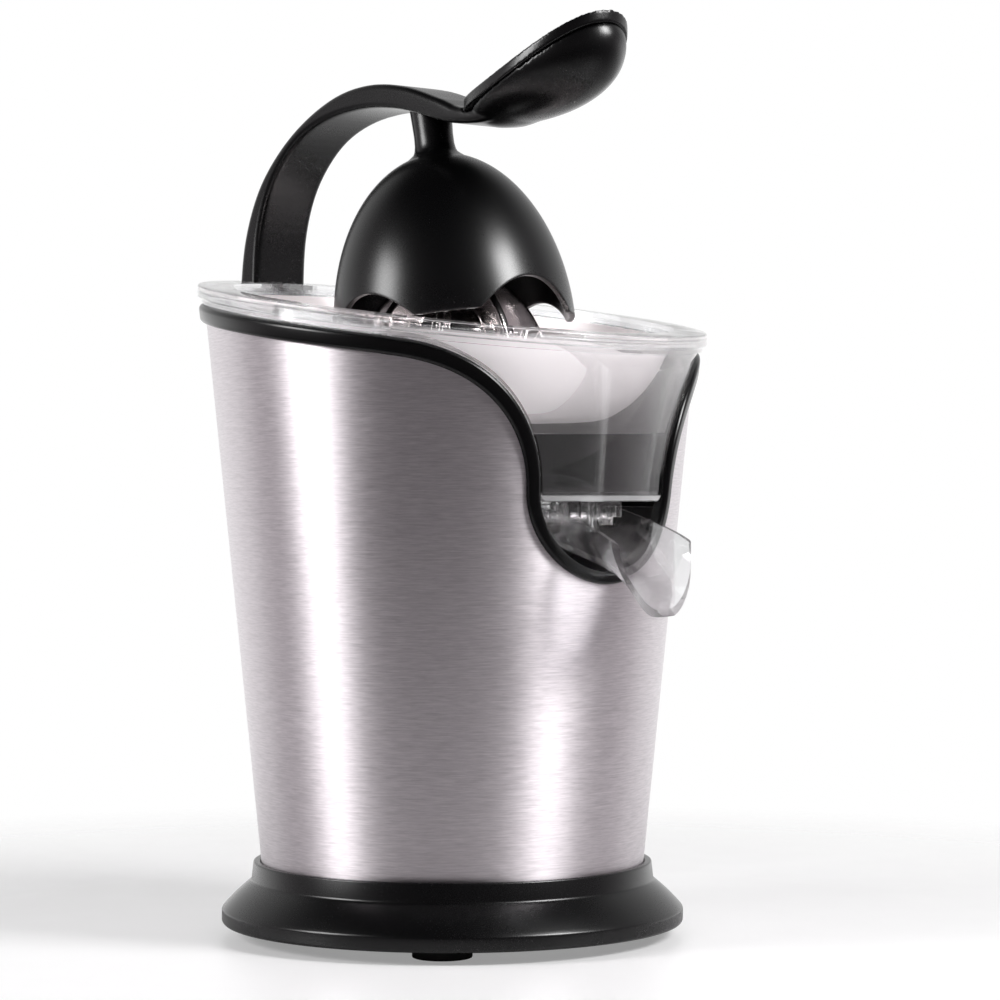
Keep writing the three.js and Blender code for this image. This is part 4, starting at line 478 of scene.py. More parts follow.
def clear_plastic():
    """Clear plastic with faint flow marks. At the height of the bowl's floor it is made less clear, a
    painted highlight along the floor's edge.
    """
    f = Finish("clear_plastic")
    flow = f.noise(55, 2)
    haze = f.noise(300, 3)
    f.feed("Base Color", f.mixed(haze, (0.975, 0.975, 0.99), (0.99, 0.99, 1.0)))
    f.feed("Roughness", f.ranged(haze, 0.0, 0.03, 0.35, 0.75))
    split = f.nodes.new("ShaderNodeSeparateXYZ")
    f.links.new(f.coords, split.inputs[0])
    # Painted highlight: within the floor's thickness less light passes through, so the plastic there
    # shows as a pale line round the floor's edge.
    off = worked_out(f.tree, "SUBTRACT", split.outputs["Z"], (BOWL_FLOOR + BOWL_INSIDE) / 2 * MM)
    away = worked_out(f.tree, "ABSOLUTE", off)
    f.feed("Transmission Weight", f.ranged(away, 0.55, 1.0, 0.0008, 0.00125))
    f.bump(flow, 0.004, 0.25)
    f.set(IOR=1.5, Alpha=0.68)
    return f.material


BLACK = (0.0012, 0.0012, 0.0014)
SOFT_BLACK = (0.0024, 0.0024, 0.0027)

BLACK_PLASTIC = moulded_plastic("black_plastic", BLACK, SOFT_BLACK, 0.24, 0.31, shine=0.38)
TRIM_PLASTIC = moulded_plastic("trim_plastic", BLACK, SOFT_BLACK, 0.22, 0.28, shine=0.3)
PAD_PLASTIC = moulded_plastic("pad_plastic", BLACK, SOFT_BLACK, 0.22, 0.30, 1600, 0.02, 0.4)
HOUSING_PLASTIC = moulded_plastic("housing_plastic", BLACK, SOFT_BLACK, 0.45, 0.55, shine=0.2)
GREY_PLASTIC = moulded_plastic("grey_plastic", (0.12, 0.125, 0.13), (0.16, 0.165, 0.17), 0.4, 0.5)
NYLON = moulded_plastic("nylon", (0.72, 0.69, 0.60), (0.80, 0.77, 0.69), 0.38, 0.5)
RUBBER = moulded_plastic("rubber", (0.010, 0.010, 0.010), (0.016, 0.016, 0.016), 0.7, 0.85, 900, 0.04)
BRUSHED_STEEL = brushed_steel("brushed_steel", (0.55, 0.51, 0.535), (0.80, 0.75, 0.78), 0.42, 0.50, 1700)
POLISHED_STEEL = polished_steel()
# The strainer is given an emission that brightens it, painted light from no lamp.
STRAINER_STEEL = brushed_steel(
    "strainer_steel", (0.86, 0.805, 0.815), (0.94, 0.885, 0.895), 0.45, 0.55, 1600, 0.25, 0.27)
PLAIN_STEEL = turned_metal("plain_steel", (0.45, 0.45, 0.46), (0.58, 0.58, 0.59))
BRONZE = turned_metal("bronze", (0.42, 0.26, 0.10), (0.55, 0.36, 0.16))
COPPER = turned_metal("copper", (0.60, 0.24, 0.10), (0.74, 0.34, 0.16))
LAMINATION = turned_metal("lamination", (0.12, 0.12, 0.13), (0.20, 0.20, 0.21), 0.4, 0.6)
CLEAR_PLASTIC = clear_plastic()

FINISH_OF_SLOT = dict(
    black_plastic=BLACK_PLASTIC, housing_plastic=HOUSING_PLASTIC, grey_plastic=GREY_PLASTIC,
    nylon=NYLON, rubber=RUBBER, brushed_steel=BRUSHED_STEEL, polished_steel=POLISHED_STEEL,
    plain_steel=PLAIN_STEEL, bronze=BRONZE, copper=COPPER, lamination=LAMINATION,
    clear_plastic=CLEAR_PLASTIC)


def dress_carried_nodes():
    """Gives each part that is shown as it was packed the finish of its slot."""
    slots = {part["node"]: part["material_slot"] for part in frame["record"]["subparts"]}
    for name, obj in frame["nodes"].items():
        obj.data.materials.clear()
        obj.data.materials.append(FINISH_OF_SLOT[slots[name]])


# ---- the mouth of the body


def on_cone(x, z):
    """The place on the body's cone at this front view position."""
    return Vector((x, -math.sqrt(shell_radius(z) ** 2 - x ** 2), z))


def cone_normal(point):
    return Vector((point.x, point.y, -SHELL_TAPER * math.hypot(point.x, point.y))).normalized()


def notch_half(radius, edge):
    """Front view (x, z) from the bottom of the notch up its side and along the shoulder."""
    mouth, bottom_steps, shoulder_steps = NOTCH_MOUTH, 26, 34
    wall = shell_radius(edge)
    back = math.sqrt(wall ** 2 - mouth ** 2)
    lean = math.atan(RIM_SLOPE * mouth / back)
    end = edge - RIM_SLOPE * back
    rise = end - NOTCH_Z
    reach = radius + rise * math.cos(lean) - mouth * math.sin(lean)
    shoulder = (mouth ** 2 + rise ** 2 - radius ** 2) / (2 * reach)
    centre_x = mouth + shoulder * math.sin(lean)
    centre_z = end - shoulder * math.cos(lean)
    meet = math.atan2(centre_z - NOTCH_Z, centre_x)
    points = []
    for i in range(bottom_steps):
        angle = -math.pi / 2 + (meet + math.pi / 2) * i / bottom_steps
        points.append((radius * math.cos(angle), NOTCH_Z + radius * math.sin(angle)))
    start = math.pi + meet
    for i in range(shoulder_steps + 1):
        angle = start + (math.pi / 2 + lean - start) * i / shoulder_steps
        points.append((centre_x + shoulder * math.cos(angle), centre_z + shoulder * math.sin(angle)))
    return points


def mouth_line(radius, edge):
    """The closed edge of the body's mouth: round the notch, then round the tilted rim."""
    half = [on_cone(x, z) for x, z in notch_half(radius, edge)]
    rim_steps = COLUMNS // 2 - len(half) + 1
    first = math.atan2(half[-1].y, half[-1].x)
    for i in range(1, rim_steps + 1):
        angle = first + (math.pi / 2 - first) * i / rim_steps
        lift = RIM_SLOPE * math.sin(angle)
        z = (edge + lift * SHELL_FLOOR_RADIUS) / (1 - lift * SHELL_TAPER)
        wall = shell_radius(z)
        half.append(Vector((wall * math.cos(angle), wall * math.sin(angle), z)))
    other = [Vector((-p.x, p.y, p.z)) for p in reversed(half[1:-1])]
    return half + other


def front_outline(radius, edge, y, corner=0.0, bottom=None):
    """The notch outline as a flat loop at one depth, closed far above the rim. A bottom cuts it
    level, with round corners."""
    half = notch_half(radius, edge)
    if bottom is not None:
        half = [(x, z) for x, z in half if z > bottom + corner]
        side = half[0][0]
        bend = [(side - corner * (1 - math.sin(a)), bottom + corner * (1 - math.cos(a)))
                for a in [math.pi / 2 * i / 6 for i in range(7)]]
        half = [(0, bottom)] + bend + half
    half.append((half[-1][0], 300))
    right = [(x, y, z) for x, z in half]
    left = [(-x, y, z) for x, z in reversed(half) if x > 1e-6]
    return right + left


def leaning(bm):
    """Shears a shape so that a level ring becomes one that falls towards the spout."""
    shear = Matrix.Identity(4)
    shear[2][1] = RIM_SLOPE
    return moved(bm, shear)


def sliced(bm, at, normal, dist=1e-4):
    """Cuts off what lies beyond a plane and closes the cut."""
    cut = bmesh.ops.bisect_plane(
        bm, geom=bm.verts[:] + bm.edges[:] + bm.faces[:], dist=dist,
        plane_co=at, plane_no=Vector(normal).normalized(), clear_outer=True)
    edges = [g for g in cut["geom_cut"] if isinstance(g, bmesh.types.BMEdge)]
    bmesh.ops.holes_fill(bm, edges=edges, sides=0)
    bmesh.ops.recalc_face_normals(bm, faces=bm.faces)
    return bm


def under_rim(bm, height):
    """Cuts off what stands above the tilted plane that crosses the axis at this height."""
    return sliced(bm, (0, 0, height), (0, -RIM_SLOPE, 1), 1e-5)


def cone(offset, bottom, top, rows=12):
    """The body's cone as a solid, grown or shrunk by the offset."""
    heights = [bottom + (top - bottom) * i / rows for i in range(rows + 1)]
    return turned([(0, bottom)] + [(shell_radius(z) + offset, z) for z in heights] + [(0, top)])


# ---- base and feet


def base_skirt():
    """The flared ring that the steel body stands in, with a lip that holds the steel."""
    edge, waist, low, high = 92, 80.2, 10.6, 21.9
    flare = []
    for i in range(1, 9):
        share = i / 9
        straight = low + (high - low) * share
        swell = 1.6 * math.sin(math.pi * share / 2) * (1 - share)
        flare.append((edge + (waist - edge) * share, straight + swell))
    seat_z, lip_z, gap = 24.2, 29.35, 0.3
    seat = shell_radius(seat_z)
    profile = [(edge - 1, 4.8), (edge, 5.8), (edge, low), *flare, (waist, high), (79.4, lip_z)]
    profile += [(shell_radius(lip_z) + gap, lip_z), (seat + gap, seat_z), (seat - 3, seat_z)]
    profile += [(seat - 3, 21.2), (83, 12.6), (83, 9.6), (86.3, 9.6), (86.3, 4.8)]
    return turned(profile, COLUMNS, soft=0.6, segments=3, angle=28)


def foot(x, y):
    """A rubber foot, hollow for the head of its screw."""
    profile = [(SCREW_WAY, 3), (3.7, 3), (3.7, 0), (11.5, 0), (11.5, 6.5), (SCREW_WAY, 6.5)]
    return shifted(turned(profile, 48, soft=0.6), x, y)


def screw_shape(tip):
    """A screw with a domed head and a cross recess, its head's bearing face at zero, pointing up."""
    head_radius, head, brim = 3.4, 2.2, 0.7
    crest, root, pitch = 1.6, 1.25, 1.1
    dome = [(head_radius * math.cos(a), -brim - (head - brim) * math.sin(a))
            for a in [math.pi / 2 * i / 6 for i in range(6)]]
    profile = [(0, -head), *reversed(dome), (head_radius, 0), (crest, 0)]
    for i in range(int((tip - 1) / pitch)):
        profile += [(root, 0.5 + pitch * i), (crest, 1.05 + pitch * i)]
    profile += [(root, tip), (0, tip + 1.4)]
    body = turned(profile, 32)
    recess = gathered(
        block((-2.1, -0.4, -head - 1), (2.1, 0.4, -head + 1.3)),
        block((-0.4, -2.1, -head - 1), (0.4, -0.41, -head + 1.3)),
        block((-0.4, 0.41, -head - 1), (0.4, 2.1, -head + 1.3)))
    return combined("DIFFERENCE", body, recess)


def bottom_plate(corners):
    """The round plate under the base, with a ring of vents and a hole for each screw."""
    plate = rod(86, 6.8, 9.3, COLUMNS)
    vents = []
    for i in range(8):
        outline = line([(36, -1.3, 5), (52, -1.3, 5), (52, 1.3, 5), (36, 1.3, 5)])
        slot = deepened(round_corners(outline, 1.25, 5), (0, 0, 6))
        vents.append(spun(slot, 45 * (i + 0.5)))
    holes = [shifted(rod(SCREW_WAY, 5, 11, 24), x, y) for x, y in corners]
    return combined("DIFFERENCE", plate, gathered(*vents, *holes))


# ---- steel body, trim and housing


def steel_shell():
    """The tapered steel sheet, its edge tucked into the trim round the mouth."""
    bottom, rows, tuck = 24.5, 40, 3.2
    sheet = line([(1, 0, i / rows) for i in range(rows + 1)], closed=False)
    bmesh.ops.spin(
        sheet, geom=sheet.verts[:] + sheet.edges[:], cent=(0, 0, 0), axis=(0, 0, 1),
        angle=2 * math.pi, steps=COLUMNS, use_merge=True)
    edge = mouth_line(NOTCH_RADIUS - tuck, SHELL_EDGE + tuck)
    for vert in sheet.verts:
        turn = math.atan2(vert.co.y, vert.co.x) + math.pi / 2
        top = edge[round(turn / (2 * math.pi) * COLUMNS) % COLUMNS]
        z = bottom + vert.co.z * (top.z - bottom)
        angle = math.atan2(top.y, top.x)
        vert.co = (shell_radius(z) * math.cos(angle), shell_radius(z) * math.sin(angle), z)
    bmesh.ops.recalc_face_normals(sheet, faces=sheet.faces)
    middle = max(sheet.faces, key=lambda f: f.calc_center_median().x)
    if middle.normal.x < 0:
        bmesh.ops.reverse_faces(sheet, faces=sheet.faces)
    bmesh.ops.solidify(sheet, geom=sheet.faces[:], thickness=1.0)
    bmesh.ops.recalc_face_normals(sheet, faces=sheet.faces)
    return sheet


def shell_trim():
    """The moulded edge band: a rounded channel carried round the mouth of the body."""
    steel_side = mouth_line(NOTCH_RADIUS, SHELL_EDGE)
    open_side = mouth_line(OPENING_RADIUS, TRIM_TOP)
    span, face, back = 7, 2.4, -2.5
    channel = [(0, 0.15), (0, face), (1, face), (1, back), (0, back)]
    channel += [(0, -1.35), (0.5, -1.35), (0.5, 0.15)]
    section = line([(a * span, b, 0) for a, b in channel])
    outer = [v for v in section.verts if abs(v.co.y - face) < 1e-3]
    bevelled(section, outer, 1.9, 6, "VERTICES")
    stations = []
    count = len(steel_side)
    for i in range(count):
        here, there = steel_side[i], open_side[i]
        ahead = steel_side[(i + 1) % count] - steel_side[i - 1]
        stations.append(place((there - here) / span, cone_normal(here), ahead.normalized(), here))
    return swept(section, stations, closed=True)


def inner_housing():
    """The black inner shell, seen round the bowl and behind the spout."""
    outer, inner = -2.9, -5.0
    outside = under_rim(cone(outer, DECK_TOP - 2.4, 264), TRIM_TOP - 0.3)
    hollow = cone(inner, DECK_TOP, 270)
    bowl_like = combined("DIFFERENCE", outside, hollow)
    opening = prism(front_outline(NOTCH_RADIUS, SHELL_EDGE, 10), (0, -140, 0))
    walls = combined("DIFFERENCE", bowl_like, opening)
    grown = prism(front_outline(OPENING_RADIUS + 2.2, TRIM_TOP, -47.8), (0, -80, 0))
    pocket = combined("INTERSECT", grown, cone(outer, 130, DECK_TOP))
    void = prism(front_outline(OPENING_RADIUS, TRIM_TOP, -50), (0, -90, 0))
    joined = combined("UNION", walls, pocket, rod(11, 142, 196, 64))
    return combined("DIFFERENCE", joined, void, rod(6.5, 140, 200, 48))


# ---- bowl, spout and strainer


def drawn_up(bm, level, rim):
    """Draws a bowl up to the tilted rim: heights above the level part lean with it."""
    for vert in bm.verts:
        share = min(max((vert.co.z - level) / (rim - level), 0), 1)
        vert.co.z += RIM_SLOPE * vert.co.y * share
    return bm


def bowl_half(foot_radius, bottom, corner, top):
    """Half section of the bowl's inside or outside, from the middle of its floor to its mouth."""
    flare = (BOWL_MOUTH_RADIUS - BOWL_FOOT_RADIUS) / (RIM_TOP - BOWL_FLOOR)
    lean = math.atan(flare)
    points = [(0, bottom)]
    for i in range(9):
        angle = i / 8 * (math.pi / 2 - lean)
        radius = foot_radius - corner * (1 - math.sin(angle))
        points.append((radius, bottom + corner * (1 - math.cos(angle))))
    start, end = points[-1], (foot_radius + flare * (top - BOWL_FLOOR), top)
    for i in range(1, 13):
        share = i / 12
        points.append(tuple(a + (b - a) * share for a, b in zip(start, end)))
    points.append((0, top))
    return points


def bay(inset, bottom, ceiling, corner):
    """The front of the bowl that fills the notch flush with the steel and flares out to the rim."""
    outline = front_outline(BAY_RADIUS - inset, TRIM_TOP + 0.3 + inset, -45, corner, bottom)
    start, reach, rise = shell_radius(218), RIM_RADIUS - 0.4 - shell_radius(218), 14.6
    flare = [(start + reach * (i / 8) ** 2 - inset, 232 + rise * i / 8) for i in range(9)]
    lip = leaning(turned([(70, 232), *flare, (70, 232 + rise)]))
    column = under_rim(combined("UNION", cone(-inset, bottom - 20, 264, 40), lip), ceiling)
    return combined("INTERSECT", column, prism(outline, (0, -90, 0)))


def outlet_boss():
    """The stepped block under the outlet, with upright ribs on its front and sides."""
    upper = block((-14.35, -81.6, 166.4), (14.35, -61, BOWL_FLOOR + 1), soft=0.4)
    lower = block((-11.6, -79.6, 163.4), (11.6, -61, 167), soft=0.4)
    cells = []
    for i in range(-2, 3):
        cells.append(block((5.4 * i - 2.1, -82.6, 165), (5.4 * i + 2.1, -80.2, 171)))
        cells.append(block((4.3 * i - 1.6, -80.6, 162), (4.3 * i + 1.6, -78.4, 165.6)))
    for i in range(4):
        front = -79.2 + 4.9 * i
        cells.append(block((-15.4, front, 165), (-13, front + 3.7, 171)))
        cells.append(block((13, front, 165), (15.4, front + 3.7, 171)))
    return combined("DIFFERENCE", combined("UNION", upper, lower), gathered(*cells))


def spout_pin_way():
    return moved(rod(2.1, -30, 30, 24), SPOUT_AXIS)


def juice_bowl():
    """The clear bowl: rim, front bay, chimney round the shaft, and outlet."""
    level = BOWL_FLOOR + 6
    outside = drawn_up(turned(bowl_half(BOWL_FOOT_RADIUS, BOWL_FLOOR, 6, RIM_TOP)), level, RIM_TOP)
    inside = drawn_up(
        turned(bowl_half(BOWL_FOOT_RADIUS - BOWL_WALL, BOWL_INSIDE, 4, RIM_TOP + 5)), level, RIM_TOP)
    rim_profile = [(90, RIM_TOP - BOWL_WALL), (97.6, RIM_TOP - BOWL_WALL), (97.6, TRIM_TOP + 0.3)]
    rim_profile += [(99.8, TRIM_TOP + 0.3), (99.8, RIM_TOP - 5)]
    rim_profile += [(RIM_RADIUS, RIM_TOP - 5), (RIM_RADIUS, RIM_TOP), (90, RIM_TOP)]
    rim = leaning(turned(rim_profile, COLUMNS, soft=0.7, segments=4))
    nozzle = shifted(rod(7.4, 160.6, BOWL_FLOOR + 1, 48, 0.4), y=OUTLET_Y)
    bay_outside = bay(0, BOWL_FLOOR, RIM_TOP - 1.1, 4.0)
    walls = combined("UNION", outside, bay_outside, rim, outlet_boss(), nozzle)
    chimney = rod(14.5, BOWL_FLOOR, 203.7, 64, 0.5)
    hollow = combined("UNION", inside, bay(BOWL_WALL, BOWL_INSIDE, RIM_TOP - BOWL_WALL, 2.0))
    shell = combined("UNION", combined("DIFFERENCE", walls, hollow), chimney)
    shaft_way = rod(12.3, 160, 206, 64)
    drain = shifted(rod(4.6, 159, 178, 48), y=OUTLET_Y)
    return combined("DIFFERENCE", shell, shaft_way, drain, spout_pin_way())


def spout():
    """The tilting trough: a U section carried down the path, its lip cut round in plan."""
    way = [(-57, 156.2), (-76, 151.6), (-93, 146.6), (-104, 142), (-112, 136), (-117, 129.5)]
    path = smooth_line([(0, y, z) for y, z in way], 48)
    half, deep, wall = 21.5, 17.5, 2.0

    def arc(inset):
        points = []
        for i in range(33):
            angle = math.pi * i / 32
            points.append(((half - inset) * math.cos(angle), deep - (deep - inset) * math.sin(angle), 0))
        return points

    section = line(arc(0) + arc(wall)[::-1])
    stations = []
    for i, point in enumerate(path):
        ahead = (path[min(i + 1, len(path) - 1)] - path[max(i - 1, 0)]).normalized()
        up = Vector((0, ahead.z, -ahead.y))
        if up.z < 0:
            up = -up
        share = min(max((-point.y - 78) / (118.5 - 78), 0), 1)
        width = 0.92 + 0.08 * share * share * (3 - 2 * share)
        stations.append(place((width, 0, 0), up, ahead, point))
    trough = swept(section, stations)
    trough = sliced(trough, (0, 0, 169.6), (0, 0, 1))
    lip_half, lip_start, lip_reach, squareness = 23.5, -97, 20.7, 0.6
    tongue = [(24, -40, 100)]
    for i in range(49):
        angle = math.pi * i / 48
        across = math.copysign(abs(math.cos(angle)) ** squareness, math.cos(angle))
        y = lip_start - lip_reach * math.sin(angle) ** squareness
        tongue.append((lip_half * across, y, 100))
    trough = combined("INTERSECT", trough, prism([*tongue, (-24, -40, 100)], (0, 0, 90)))
    return combined("DIFFERENCE", trough, spout_pin_way())


def strainer():
    """The pressed dish that catches the pips: a flat floor with two rings of slots, flaring up."""
    bottom, sheet = 204.0, 0.8
    edge = RIM_TOP - 4.5
    mouth = BOWL_MOUTH_RADIUS - BOWL_WALL - 0.9

    def wall(inset):
        points = []
        for i in range(19):
            t = i / 18
            radius = bow(54, 76, mouth, t) - inset * t
            points.append((radius, bottom + inset * (1 - t) + (edge - bottom) * t * t))
        return points

    profile = [(13.2, bottom), *wall(0), *reversed(wall(sheet)), (13.2, bottom + sheet)]
    dish = drawn_up(turned(profile), bottom + 4, edge)
    slots = []
    for radius, length, count in ((27, 14, 8), (48, 16, 14)):
        for i in range(count):
            near, far = radius - length / 2, radius + length / 2
            slot = block((near, -1.2, bottom - 1), (far, 1.2, bottom + 3))
            slots.append(spun(slot, 360 * i / count))
    return combined("DIFFERENCE", dish, gathered(*slots))


# ---- reamer, dome and lever


def crown(radius, spring, height, steps):
    """Half section of a domed top that springs from a height."""
    points = [(radius * math.cos(a), spring + height * math.sin(a))
              for a in [math.pi / 2 * i / steps for i in range(steps)]]
    return points + [(0, spring + height)]


def reamer():
    """The pressing core with eight tall fins."""
    foot_z, radius, spring, fin_depth, wall = REAMER_FOOT, REAMER_RADIUS, 221, 12, 2.6
    core = radius - fin_depth
    outside = [(0, foot_z), (radius, foot_z), (radius, foot_z + 2), (core, foot_z + 4)]
    outside = turned([*outside, *crown(core, spring, 32, 16)], 96)
    envelope = turned([(0, foot_z), (radius, foot_z), *crown(radius, spring, 44, 16)], 96)
    blades = []
    for i in range(4):
        blade = block((-radius - 1, -1.6, foot_z - 1), (radius + 1, 1.6, 266))
        blades.append(spun(blade, 45 * i - 5))
    fins = combined("INTERSECT", envelope, combined("UNION", *blades))
    hollow = [(0, foot_z - 1), (core - wall, foot_z - 1), *crown(core - wall, spring, 20, 12)]
    cup = combined("DIFFERENCE", outside, turned(hollow, 64))
    cup = combined("UNION", cup, rod(8, 209, 243, 48))
    cup = combined("DIFFERENCE", cup, rod(REAMER_BORE, 206, 238.3, 32))
    fins = combined("DIFFERENCE", fins, turned(hollow, 64))
    return moulded(combined("UNION", cup, fins), 0.7, 4)


def pressing_dome():
    """The cup pressed on the fruit, with four arches round its rim and a neck under the lever."""
    radius, height, wall = 48.2, 72, 2.6
    arch_half, arch_rise, settled = 23.5, 12.5, 34
    skin = [(r, z) for r, z in crown(radius, 0, height, 60) if r > 11.5]
    neck = [(10.2, 71.3), (9.0, 72.4), (8.4, 73.8), (8.0, 76), (7.9, 80), (8.6, 94), (0, 94)]
    lining = [(r, z) for r, z in reversed(crown(radius - wall, 0, height - wall, 60)) if r > 5]
    half_section = [*skin, *neck, (0, 65), (5, 65), *lining]
    body = turned(half_section, 320, soft=0.45, segments=3, angle=50)
    for vert in body.verts:
        x, y, z = vert.co
        across = math.hypot(x, y)
        if z < settled and across > 30:
            outside = across > radius * math.sqrt(max(1 - (z / height) ** 2, 0)) - wall / 2
            tall = height if outside else height - wall
            side = min(abs(x), abs(y)) / arch_half
            raised = z + max(arch_rise * (1 - side * side), 0) * (1 - max(z, 0) / settled)
            shrink = math.sqrt(1 - (raised / tall) ** 2) / math.sqrt(1 - (max(z, 0) / tall) ** 2)
            vert.co = (x * shrink, y * shrink, raised)
    body = combined("DIFFERENCE", body, rod(SCREW_WAY, 60, 96, 24))
    moved(body, Matrix.Translation(DOME_PLACE) @ Matrix.Rotation(-DOME_LEAN, 4, "X"))
    return sliced(body, (0, 12.8, 327.9), (0, -0.2, 1))  # the neck meets the arm's underside


# the arm's side view (y, z), from the hinge to the paddle
ARM_TOP = [
    (121.2, 246), (121, 264), (117.6, 284), (109, 303), (95.5, 318), (78, 330), (57, 338.5),
    (36, 341), (15, 338.3), (-5, 332), (-21, 327), (-42, 333), (-66, 342),
]
ARM_UNDER = [
    (109.4, 246), (109.8, 264), (108, 284), (102, 301), (92, 314), (79, 323.5), (62, 329.3),
    (42, 331.5), (24, 330.3), (8, 327), (-10, 321.9), (-26, 320.2), (-38, 321.3), (-50, 324.2),
    (-60, 329), (-66, 333),
]


def paddle_rim(y):
    """Height of the paddle's rim line."""
    share = (-y - PADDLE_REAR) / (PADDLE_TIP - PADDLE_REAR)
    middle = PADDLE_REAR_RISE + 0.13 * (PADDLE_TIP - PADDLE_REAR) / 2
    return bow(PADDLE_REAR_RISE, middle, PADDLE_TIP_RISE, share)


def paddle_plan(grow):
    """Plan outline of the paddle, widest where its sides run straight to the front."""
    half, rear, widest_y = PADDLE_HALF + grow, 11 + grow, -57
    rear_y, tip_y = -PADDLE_REAR + grow, -PADDLE_TIP - grow
    side = [(rear, rear_y)]
    for i in range(1, 17):
        t = i / 16
        y = bezier(rear_y, rear_y - 4, -42, widest_y, t)
        side.append((bezier(rear, rear + 8, half, half, t), y))
    for i in range(1, 25):
        t = i / 24
        side.append((bezier(half, half, half * 0.6, 0, t), bezier(widest_y, -77, tip_y, tip_y, t)))
    return [(x, y, 0) for x, y in side] + [(-x, y, 0) for x, y in reversed(side[:-1])]


def paddle_slab(grow, low, high):
    """The plan of the paddle given a thickness between two heights above its rim line."""
    slab = prism(paddle_plan(grow), (0, 0, 1))
    for i in range(1, 30):
        y = -PADDLE_REAR + 2 - i * 2.5
        bmesh.ops.bisect_plane(
            slab, geom=slab.verts[:] + slab.edges[:] + slab.faces[:], dist=1e-4,
            plane_co=(0, y, 0), plane_no=(0, 1, 0))
    for vert in slab.verts:
        rise = low if vert.co.z < 0.5 else high
        vert.co.z = paddle_rim(vert.co.y) + rise
    return slab


def arm_blank():
    """The curved arm with rounded edges, narrowing to a point under the paddle."""
    under = smooth_line([(0, y, z) for y, z in ARM_UNDER], 61)
    top = smooth_line([(0, y, z) for y, z in ARM_TOP], 61)
    section = line([(-1, 0, 0), (1, 0, 0), (1, 1, 0), (-1, 1, 0)])
    stations = []
    for upper, lower in zip(top, under):
        share = min(max((-lower.y - PADDLE_REAR) / 46, 0), 1)
        half = ARM_HALF * math.sqrt(max(1 - share ** 2.4, 0.03))
        rise = upper - lower
        ahead = Vector((0, rise.z, -rise.y)).normalized()
        stations.append(place((half, 0, 0), rise, ahead, lower))
    arm = swept(section, stations)
    long_edges = [
        e for e in arm.edges
        if abs(e.verts[0].co.x) > 0.5 and abs(e.verts[1].co.x - e.verts[0].co.x) < 6
        and e.is_manifold and e.calc_face_angle(0) > math.radians(40)]
    return bevelled(arm, long_edges, 3.2, 4)


def lever_arm():
    """The arm with the spoon under its paddle and the knuckle of its hinge."""
    tilt = math.atan2(PADDLE_TIP_RISE - PADDLE_REAR_RISE, PADDLE_TIP - PADDLE_REAR)
    spoon = bmesh.new()
    bmesh.ops.create_uvsphere(spoon, u_segments=72, v_segments=36, radius=1)
    for vert in spoon.verts:
        if vert.co.z < 0:
            vert.co.z *= 1.28 - 0.5 * min(max(vert.co.y, -0.6), 0.5)
    size = Matrix.Diagonal((PADDLE_HALF, (PADDLE_TIP - PADDLE_REAR) / 2 / math.cos(tilt), 12.5, 1))
    middle = Matrix.Translation(
        (0, -(PADDLE_REAR + PADDLE_TIP) / 2, (PADDLE_REAR_RISE + PADDLE_TIP_RISE) / 2 - 1.5))
    moved(spoon, middle @ Matrix.Rotation(-tilt, 4, "X") @ size)
    knuckle = moved(rod(KNUCKLE_RADIUS, -ARM_HALF, ARM_HALF, 64, 0.4), HINGE_AXIS)
    body = combined("UNION", arm_blank(), spoon, knuckle)
    seat = paddle_slab(0.3, 0, 40)
    pin_way = moved(rod(4.3, -20, 20, 48), HINGE_AXIS)
    return moulded(combined("DIFFERENCE", body, seat, pin_way), 0.6, 11)


def handle_pad():
    """The soft pad let into the top of the paddle."""
    return moulded(paddle_slab(0, 0.1, 4.6), 0.45, 9)


# ---- rear hinge and cord gland


def rearwards(z):
    """Turns a piece drawn up the axis so that it points to the rear at this height."""
    return Matrix.Translation((0, 0, z)) @ Matrix.Rotation(-math.pi / 2, 4, "X")


def hinge_bracket():
    """The bracket on the back of the body: two cheeks round the arm over two screw holes."""
    foot, belly, neck = (shell_radius(176) + 4, 176), (104, 210), (120.2, 232)
    outline = [(80, 176), foot]
    for i in range(1, 17):
        outline.append(tuple(bow(a, b, c, i / 16) for a, b, c in zip(foot, belly, neck)))
    for i in range(13):
        angle = math.pi / 2 * i / 12
        outline.append((HINGE.y + KNUCKLE_RADIUS * math.cos(angle),
                        HINGE.z + KNUCKLE_RADIUS * math.sin(angle)))
    outline.append((80, HINGE.z + KNUCKLE_RADIUS))
    body = prism([(-BRACKET_HALF, y, z) for y, z in outline], (2 * BRACKET_HALF, 0, 0))
    slot = block((-ARM_HALF - BRACKET_GAP, 104, 232.8), (ARM_HALF + BRACKET_GAP, 140, 250))
    screws = (186, 214)
    heads = [moved(rod(3.7, shell_radius(z) + 3.5, 140, 32), rearwards(z)) for z in screws]
    ways = [moved(rod(SCREW_WAY, 60, 130, 24), rearwards(z)) for z in screws]
    pin_way = moved(rod(2.8, -40, 40, 32), HINGE_AXIS)
    body = combined("DIFFERENCE", body, cone(0.3, 160, 250), slot, pin_way, *heads, *ways)
    return moulded(body, 0.6, 5)


def hinge_pin():
    return moved(rod(2.5, -BRACKET_HALF, BRACKET_HALF, 48, 0.5), HINGE_AXIS)


def cord_gland():
    """The rubber ring low on the back that a cord would leave by."""
    wall = shell_radius(50)
    profile = [(3.4, wall - 6), (5.5, wall - 6), (5.5, wall + 0.6)]
    profile += [(8, wall + 0.6), (8, wall + 2.4), (3.4, wall + 3.4)]
    return moved(turned(profile, 64, soft=0.5), rearwards(42))


# ---- assembly

dress_carried_nodes()

foot_offset = 68 * math.sqrt(0.5)
corners = {
    f"{row}_{side}": (x * foot_offset, y * foot_offset)
    for row, y in (("front", -1), ("rear", 1)) for side, x in (("left", -1), ("right", 1))}

